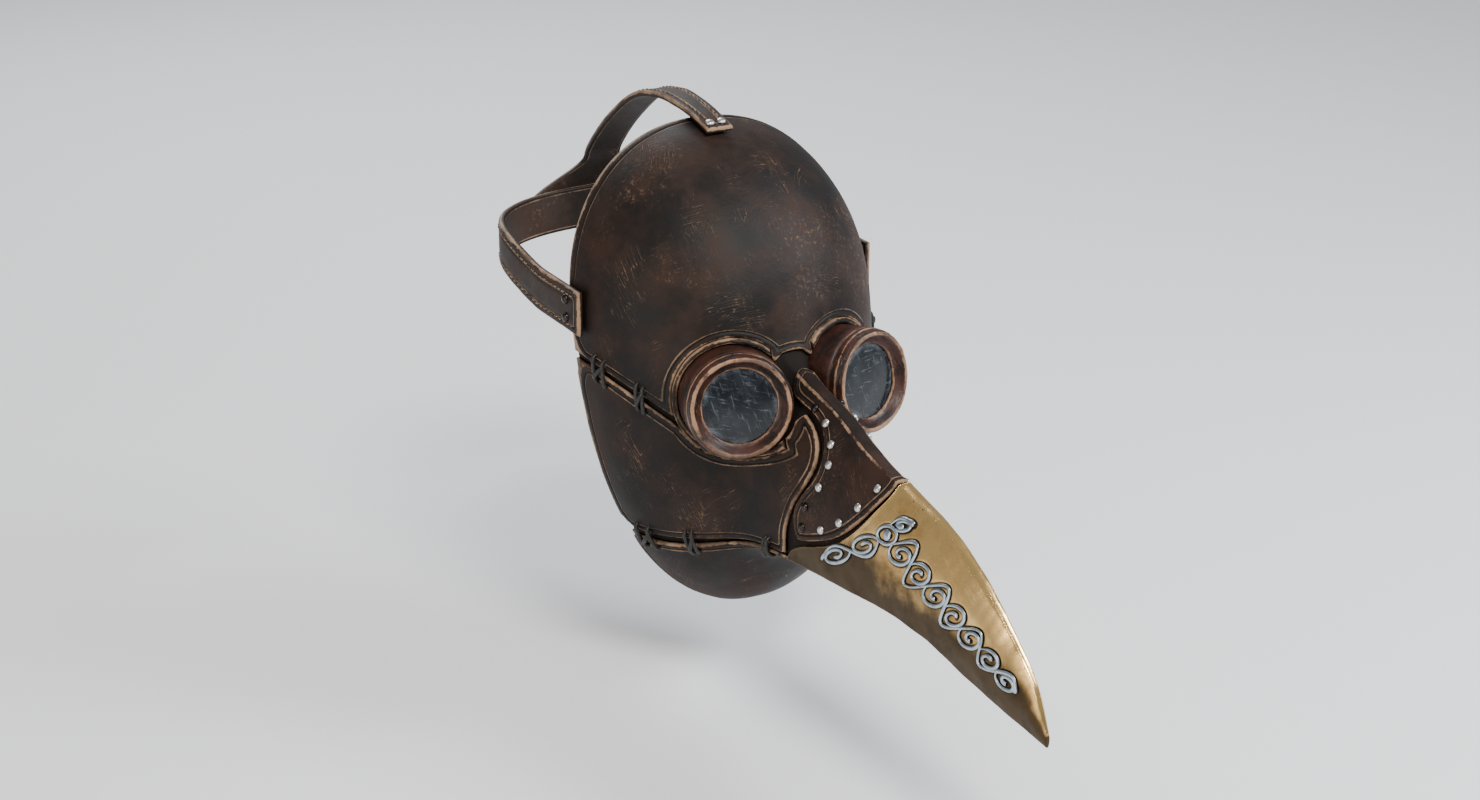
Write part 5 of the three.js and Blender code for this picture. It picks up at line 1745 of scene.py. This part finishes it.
def repeat_tree() -> NodeTree:
    """Tree that puts a template on each guide point, turned to its outward and along directions."""
    t = NodeTree("repeat_on_points", (
        ("Template", "NodeSocketObject"), ("Material", "NodeSocketMaterial"), ("Seed", "NodeSocketInt"),
        ("Size Jitter", "NodeSocketFloat"), ("Turn Jitter", "NodeSocketFloat"),
    ))

    def stored(name: str, kind: str) -> Socket:
        """Value of a guide attribute."""
        node = t.add("GeometryNodeInputNamedAttribute", {"Name": name}, data_type=kind)
        return next(o for o in node.outputs if o.enabled and o.name == "Attribute")

    upright = t.add("FunctionNodeAlignRotationToVector", {"Vector": stored("outward", "FLOAT_VECTOR")}, axis="Z")
    turned = t.add("FunctionNodeAlignRotationToVector",
                   {"Rotation": upright.outputs[0], "Vector": stored("along", "FLOAT_VECTOR")}, axis="X",
                   pivot_axis="Z")
    spread = t.add("ShaderNodeMath", {0: t.inputs["Turn Jitter"], 1: -1.0}, operation="MULTIPLY")
    turn = t.add("FunctionNodeRandomValue", {"Seed": t.inputs["Seed"]}, data_type="FLOAT")
    t.tree.links.new(spread.outputs[0], turn.inputs[2])
    t.tree.links.new(t.inputs["Turn Jitter"], turn.inputs[3])
    angle = t.add("ShaderNodeCombineXYZ", {2: turn.outputs[1]})
    rotated = t.add("FunctionNodeRotateRotation", {0: turned.outputs[0], 1: angle.outputs[0]}, rotation_space="LOCAL")
    low = t.add("ShaderNodeMath", {0: 1.0, 1: t.inputs["Size Jitter"]}, operation="SUBTRACT")
    high = t.add("ShaderNodeMath", {0: 1.0, 1: t.inputs["Size Jitter"]}, operation="ADD")
    size = t.add("FunctionNodeRandomValue", {"Seed": t.inputs["Seed"]}, data_type="FLOAT")
    t.tree.links.new(low.outputs[0], size.inputs[2])
    t.tree.links.new(high.outputs[0], size.inputs[3])
    template = t.add("GeometryNodeObjectInfo", {"Object": t.inputs["Template"]}, transform_space="ORIGINAL")
    scaled = t.add("ShaderNodeMath", {0: size.outputs[1], 1: stored("size", "FLOAT")}, operation="MULTIPLY")
    placed = t.add("GeometryNodeInstanceOnPoints", {
        "Points": t.inputs["Geometry"], "Instance": template.outputs["Geometry"],
        "Rotation": rotated.outputs[0], "Scale": scaled.outputs[0],
    })
    t.finish(placed.outputs[0])
    return t


def lace_tree() -> NodeTree:
    """Tree that sweeps a round cord along the edges of a guide."""
    t = NodeTree("lace_along_edges", (("Material", "NodeSocketMaterial"), ("Radius", "NodeSocketFloat"),
                                      ("Sides", "NodeSocketInt")))
    curve = t.add("GeometryNodeMeshToCurve", {"Mesh": t.inputs["Geometry"]})
    circle = t.add("GeometryNodeCurvePrimitiveCircle",
                   {"Resolution": t.inputs["Sides"], "Radius": t.inputs["Radius"]})
    swept = t.add("GeometryNodeCurveToMesh", {"Curve": curve.outputs[0], "Profile Curve": circle.outputs[0],
                                             "Fill Caps": True})
    t.finish(swept.outputs[0])
    return t


@dataclass
class Guide:
    """Guide points with their directions, sizes and tones, in millimetres."""

    points: list[Array] = field(default_factory=list)
    outward: list[Array] = field(default_factory=list)
    along: list[Array] = field(default_factory=list)
    size: list[float] = field(default_factory=list)
    tone: list[float] = field(default_factory=list)

    def put(self, point: Array, outward: Array, along: Array, size: float = 1.0, tone: float = 0.0) -> None:
        """Adds one point."""
        self.points.append(point)
        self.outward.append(outward)
        self.along.append(along)
        self.size.append(size)
        self.tone.append(tone)

    def object(self, name: str) -> bpy.types.Object:
        """Guide object with its attributes."""
        data = bpy.data.meshes.new(name)
        data.from_pydata((np.array(self.points) * MM).tolist(), [], [])
        for key in ("outward", "along"):
            attribute = data.attributes.new(key, "FLOAT_VECTOR", "POINT")
            attribute.data.foreach_set("vector", np.array(getattr(self, key), np.float32).reshape(-1))
        for key in ("size", "tone"):
            attribute = data.attributes.new(key, "FLOAT", "POINT")
            attribute.data.foreach_set("value", np.array(getattr(self, key), np.float32))
        obj = bpy.data.objects.new(name, data)
        bpy.context.scene.collection.objects.link(obj)
        return obj


def rivet_template(radius: float, rise: float, shank: float) -> bpy.types.Object:
    """Domed rivet with its skirt and shank, out of the work along +Z."""
    rows = [(0.45, -shank), (0.45, -0.3), (1.0, -0.3), (1.0, 0.12), (0.97, 0.3), (0.86, 0.58), (0.68, 0.79),
            (0.42, 0.93), (0.18, 0.99)]
    count = 24
    angle = np.arange(count) / count * 2 * math.pi
    rings, heights = [], []
    for share, height in rows:
        h = height if height < -0.3 else height * rise
        r = radius * share
        rings.append(np.stack([r * np.cos(angle), r * np.sin(angle), np.full(count, h)], axis=1))
        heights += [max(h, 0.0)] * count
    faces = grid_faces(len(rows), count, loop=True)
    faces += [list(range(count)), list(range((len(rows) - 1) * count, len(rows) * count))]
    return Shape(np.vstack(rings), faces, {"rise": np.array(heights)}).mesh("template")


def stitch_template(length: float, radius: float) -> bpy.types.Object:
    """One stitch: a short thread along +X that dips at both ends."""
    count, sides = 9, 6
    t = np.linspace(-1, 1, count)
    angle = np.arange(sides) / sides * 2 * math.pi
    rings = []
    for x in t:
        r = radius * math.sqrt(max(1 - abs(x) ** 6, 0.05))
        height = radius * (0.9 - 1.9 * x**4)
        ring = np.stack([np.full(sides, x * length / 2), r * np.cos(angle), height + r * 0.8 * np.sin(angle)], axis=1)
        rings.append(ring)
    faces = grid_faces(count, sides, loop=True)
    faces += [list(range(sides)), list(range((count - 1) * sides, count * sides))]
    return Shape(np.vstack(rings), faces, {}).mesh("template")


SADDLE_RIVETS = ((-0.33, 0.105), (-0.44, 0.118), (-0.525, 0.165), (-0.56, 0.24), (-0.54, 0.36), (-0.47, 0.49),
                 (-0.465, 0.59), (-0.61, 0.54), (-0.73, 0.44), (-0.83, 0.3), (-0.905, 0.15))
DARK_RIVETS = (0, 5, 6)
LACE_SPOTS = (("upper", 0.94, Seam.UPPER, 1), ("upper", 0.76, Seam.UPPER, 2), ("lower", 0.93, Seam.LOWER, 3),
              ("lower", 0.6, Seam.LOWER, 4), ("lower", -0.18, Seam.LOWER, 5))


class Fasteners:
    """Rivets, stitches and laces."""

    def __init__(self) -> None:
        """Makes the two trees."""
        self.repeat = repeat_tree()
        self.lace = lace_tree()

    def _rivets(self, name: str, guide: Guide, template: bpy.types.Object, material: bpy.types.Material,
                nodes: Sequence[str], seed: int) -> bpy.types.Object:
        """Rivets on a guide as one piece."""
        obj = self.repeat.make(name, guide.object(name + "_guide"), {
            "Template": template, "Material": material, "Seed": seed, "Size Jitter": 0.03, "Turn Jitter": 3.0,
        })
        bpy.data.objects.remove(template)
        return finish_piece(obj, material, replaces=nodes)

    def saddle(self) -> None:
        """Rivets round the saddle, pewter with a few blackened ones."""
        for dark, material, slot in ((False, WARDROBE.pewter, "pewter"), (True, WARDROBE.steel, "dark_steel")):
            guide, nodes = Guide(), []
            for side in Side:
                for index, (station, girth) in enumerate(SADDLE_RIVETS):
                    if (index in DARK_RIVETS) != dark:
                        continue
                    g = side.value * girth
                    normal = SKIN.normal(station, g)
                    guide.put(SKIN.at(station, g, 0.0), normal, np.array([0.0, -1.0, 0.0]))
                    nodes.append(f"saddle_rivet_{side.label}_{index + 1}")
            name = "saddle_rivets_dark" if dark else "saddle_rivets"
            self._rivets(name, guide, rivet_template(2.15, 1.5, 2.6), material, nodes, 11)

    def tabs(self) -> None:
        """Dark domed rivets of the side tabs."""
        guide, nodes = Guide(), []
        for side in Side:
            for index, rise in enumerate((4.6, -4.6)):
                guide.put(np.array([side.value * 81.4, -3.5, 6.4 + rise]), np.array([side.value, 0.0, 0.0]),
                          np.array([0.0, 1.0, 0.0]))
                nodes.append(f"tab_rivet_{side.label}_{index + 1}")
        self._rivets("tab_rivets", guide, rivet_template(2.5, 1.9, 9.5), WARDROBE.steel, nodes, 12)

    def crown(self) -> None:
        """The two rivets at the front of the crown strap."""
        guide, nodes = Guide(), []
        slope = unit(np.array([0.0, 15.0, 3.8]))
        out = np.array([0.0, -slope[2], slope[1]])
        for index, x in enumerate((-3.1, 3.1)):
            point = np.array([x, -9.0, 84.8]) + slope * 5 + out * 1.6
            guide.put(point, out, slope)
            nodes.append(f"crown_rivet_{index + 1}")
        self._rivets("crown_rivets", guide, rivet_template(2.3, 1.5, 9.5), WARDROBE.pewter, nodes, 13)

    def stitches(self, name: str, ribbon: Ribbon, inset: float, pitch: float = 4.2) -> None:
        """Row of stitches along both long edges of a strap."""
        guide = Guide()
        rows = len(ribbon.points)
        for sign in (0, -1):
            inside_edge = np.argmin(np.abs(ribbon.edge[rows // 2][: ribbon.edge.shape[1] // 2] - inset))
            column = inside_edge if sign == 0 else ribbon.points.shape[1] - 1 - inside_edge
            line, out = ribbon.points[:, column], ribbon.outward[:, column]
            run = np.concatenate([[0], np.cumsum(np.linalg.norm(np.diff(line, axis=0), axis=1))])
            at = np.arange(7.0, run[-1] - 7.0, pitch)
            point = np.stack([np.interp(at, run, line[:, k]) for k in range(3)], axis=1)
            normal = unit(np.stack([np.interp(at, run, out[:, k]) for k in range(3)], axis=1))
            along = unit(np.gradient(point, axis=0))
            for p, n, d in zip(point, normal, along):
                guide.put(p + n * (ribbon.thickness / 2 - 0.25), n, d)
        template = stitch_template(3.1, 0.42)
        obj = self.repeat.make(name, guide.object(name + "_guide"), {
            "Template": template, "Material": WARDROBE.thread, "Seed": RNG_SEED, "Size Jitter": 0.08,
            "Turn Jitter": 0.08,
        })
        bpy.data.objects.remove(template)
        finish_piece(obj, WARDROBE.thread)

    def laces(self) -> None:
        """Black laces across the seams, two strands and a turn round them at each place."""
        for side in Side:
            for row, station, seam, number in LACE_SPOTS:
                points, edges = [], []
                for shift in (-0.011, 0.011):
                    path = self._strand(station, seam.value, side.value, shift, 0.0)
                    edges += [(len(points) + i, len(points) + i + 1) for i in range(len(path) - 1)]
                    points += list(path)
                path = self._strand(station, seam.value, side.value, -0.012, 0.024, share=0.6, crown=2.9)
                edges += [(len(points) + i, len(points) + i + 1) for i in range(len(path) - 1)]
                points += list(path)
                data = bpy.data.meshes.new("lace_guide")
                data.from_pydata((np.array(points) * MM).tolist(), edges, [])
                guide = bpy.data.objects.new("lace_guide", data)
                bpy.context.scene.collection.objects.link(guide)
                node = f"lace_{row}_{side.label}_{number}"
                obj = self.lace.make(node, guide, {"Material": WARDROBE.cord, "Radius": 1.05 * MM, "Sides": 10})
                finish_piece(obj, WARDROBE.cord, replaces=(node,))

    @staticmethod
    def _strand(station: float, girth: float, side: int, shift: float, slant: float, share: float = 1.0,
                crown: float = 1.7) -> Array:
        """Middle line of one strand from inside the mask, over the seam and back inside."""
        ray = SKIN.ray(np.array(girth))
        scale = 100 / float(ray[4]) if station > 0 else 1.0
        d, half_length = 0.01, 6.8
        across = np.linalg.norm(SKIN.at(min(station, 0.99), girth + d) - SKIN.at(min(station, 0.99), girth - d))
        reach = share * half_length * 2 * d / float(across)
        stops = ((-1, -6.8), (-1, -2.4), (-0.93, -0.1), (-0.75, crown * 0.8), (0, crown), (0.75, crown * 0.8),
                 (0.93, -0.1), (1, -2.4), (1, -6.8))
        path = []
        for t, over in stops:
            s = min(station + (shift + slant * (t + 1) / 2) * scale, 0.995)
            path.append(SKIN.at(s, side * (girth + t * reach), over))
        return even(spline(path, 6), 0.5)


# ---------------------------------------------------------------- carried-over pieces, stage and camera
def dress(frame_parts: dict) -> None:
    """Gives the CAD nodes that stay visible their finish."""
    former = frame_parts["nodes"]["beak_former"]
    former.data.materials.clear()
    former.data.materials.append(WARDROBE.former)


@dataclass(frozen=True)
class Studio:
    """Floor, world, lights and camera."""

    position: tuple[float, float, float] = (-0.6832, -1.2613, 0.4935)
    back: tuple[float, float, float] = (-0.4526, -0.8165, 0.3584)
    right: tuple[float, float, float] = (0.8746, -0.4848, 0.0)
    up: tuple[float, float, float] = (0.1737, 0.3135, 0.9336)
    lens: float = 74.9
    floor: float = -0.185

    def build(self) -> None:
        """Sets up the studio."""
        self._camera()
        self._floor()
        world = bpy.data.worlds.new("pale_world")
        world.use_nodes = True
        background = world.node_tree.nodes["Background"]
        background.inputs["Color"].default_value = (0.93, 0.94, 0.96, 1)
        background.inputs["Strength"].default_value = 0.42
        bpy.context.scene.world = world
        aim = Vector((-0.01, -0.11, -0.02))
        self._area("key", (-0.1, -1.1, 1.2), aim, 0.55, 26, (1.0, 0.975, 0.94))
        self._area("fill", (-1.5, -0.5, 0.25), aim, 0.9, 9, (1.0, 0.95, 0.9))
        self._area("rim", (0.9, -0.6, 0.8), aim, 0.5, 16, (0.86, 0.93, 1.0))
        self._area("back_soft", (0.2, 1.2, 0.9), aim, 1.0, 13, (0.95, 0.97, 1.0))

    def _camera(self) -> None:
        """Places the camera at the front right, a little above."""
        data = bpy.data.cameras.new("camera")
        data.lens, data.sensor_width = self.lens, 36.0
        data.clip_end = 20
        camera = bpy.data.objects.new("camera", data)
        rows = zip(self.right, self.up, self.back, self.position)
        camera.matrix_world = Matrix([*(tuple(r) for r in rows), (0, 0, 0, 1)])
        bpy.context.scene.collection.objects.link(camera)
        bpy.context.scene.camera = camera

    def _floor(self) -> None:
        """Pale seamless floor."""
        size = 6.0
        data = bpy.data.meshes.new("floor")
        corners = [(-size, -size), (size, -size), (size, size), (-size, size)]
        data.from_pydata([(x, y, self.floor) for x, y in corners], [], [(0, 1, 2, 3)])
        floor = bpy.data.objects.new("floor", data)
        material = bpy.data.materials.new("floor_paper")
        material.use_nodes = True
        shader = material.node_tree.nodes["Principled BSDF"]
        shader.inputs["Base Color"].default_value = (0.84, 0.84, 0.85, 1)
        shader.inputs["Roughness"].default_value = 0.85
        data.materials.append(material)
        bpy.context.scene.collection.objects.link(floor)

    @staticmethod
    def _area(name: str, place: tuple[float, float, float], aim: Vector, size: float, power: float,
              colour: Colour) -> None:
        """Adds an area light that faces the mask."""
        data = bpy.data.lights.new(name, "AREA")
        data.shape, data.size, data.energy, data.color = "DISK", size, power, colour
        light = bpy.data.objects.new(name, data)
        light.location = place
        light.rotation_euler = (aim - Vector(place)).to_track_quat("-Z", "Y").to_euler()
        bpy.context.scene.collection.objects.link(light)


def build_mask() -> None:
    """Makes every piece of the mask."""
    Panel("forehead_panel", forehead_outline(), (52, 130), WARDROBE.panel, EYES, seed=51).build()
    for side, eye in zip(Side, EYES):
        Panel(f"cheek_panel_{side.label}", cheek_outline(side), (80, 56), WARDROBE.panel, (eye,),
              seed=61 + side.value).build()
    Panel("chin_panel", chin_outline(), (70, 60), WARDROBE.panel, seed=71).build()
    Panel("beak_saddle", saddle_outline(), (64, 120), WARDROBE.saddle, EYES, collar=False, crease=True,
          seed=81).build()
    Lining().build()
    for eye in EYES:
        Eyepiece(eye).build()
    scrolls = Scrollwork()
    for side in Side:
        scrolls.build(side)
    BrassTip(scrolls).build()
    head, _ = head_strap()
    crown = crown_strap()
    finish_piece(head.shape().mesh("head_strap"), WARDROBE.strap, replaces=("head_strap",))
    finish_piece(crown.shape().mesh("crown_strap"), WARDROBE.strap, replaces=("crown_strap",))
    fasteners = Fasteners()
    fasteners.saddle()
    fasteners.tabs()
    fasteners.crown()
    fasteners.stitches("head_strap_stitches", head, 3.4)
    fasteners.stitches("crown_strap_stitches", crown, 3.4)
    fasteners.laces()


def main() -> None:
    """Builds the mask and its studio."""
    logging.basicConfig(level=logging.INFO, format="%(message)s")
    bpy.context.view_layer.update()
    dress(frame)
    build_mask()
    Studio().build()


if __name__ == "__main__":
    main()
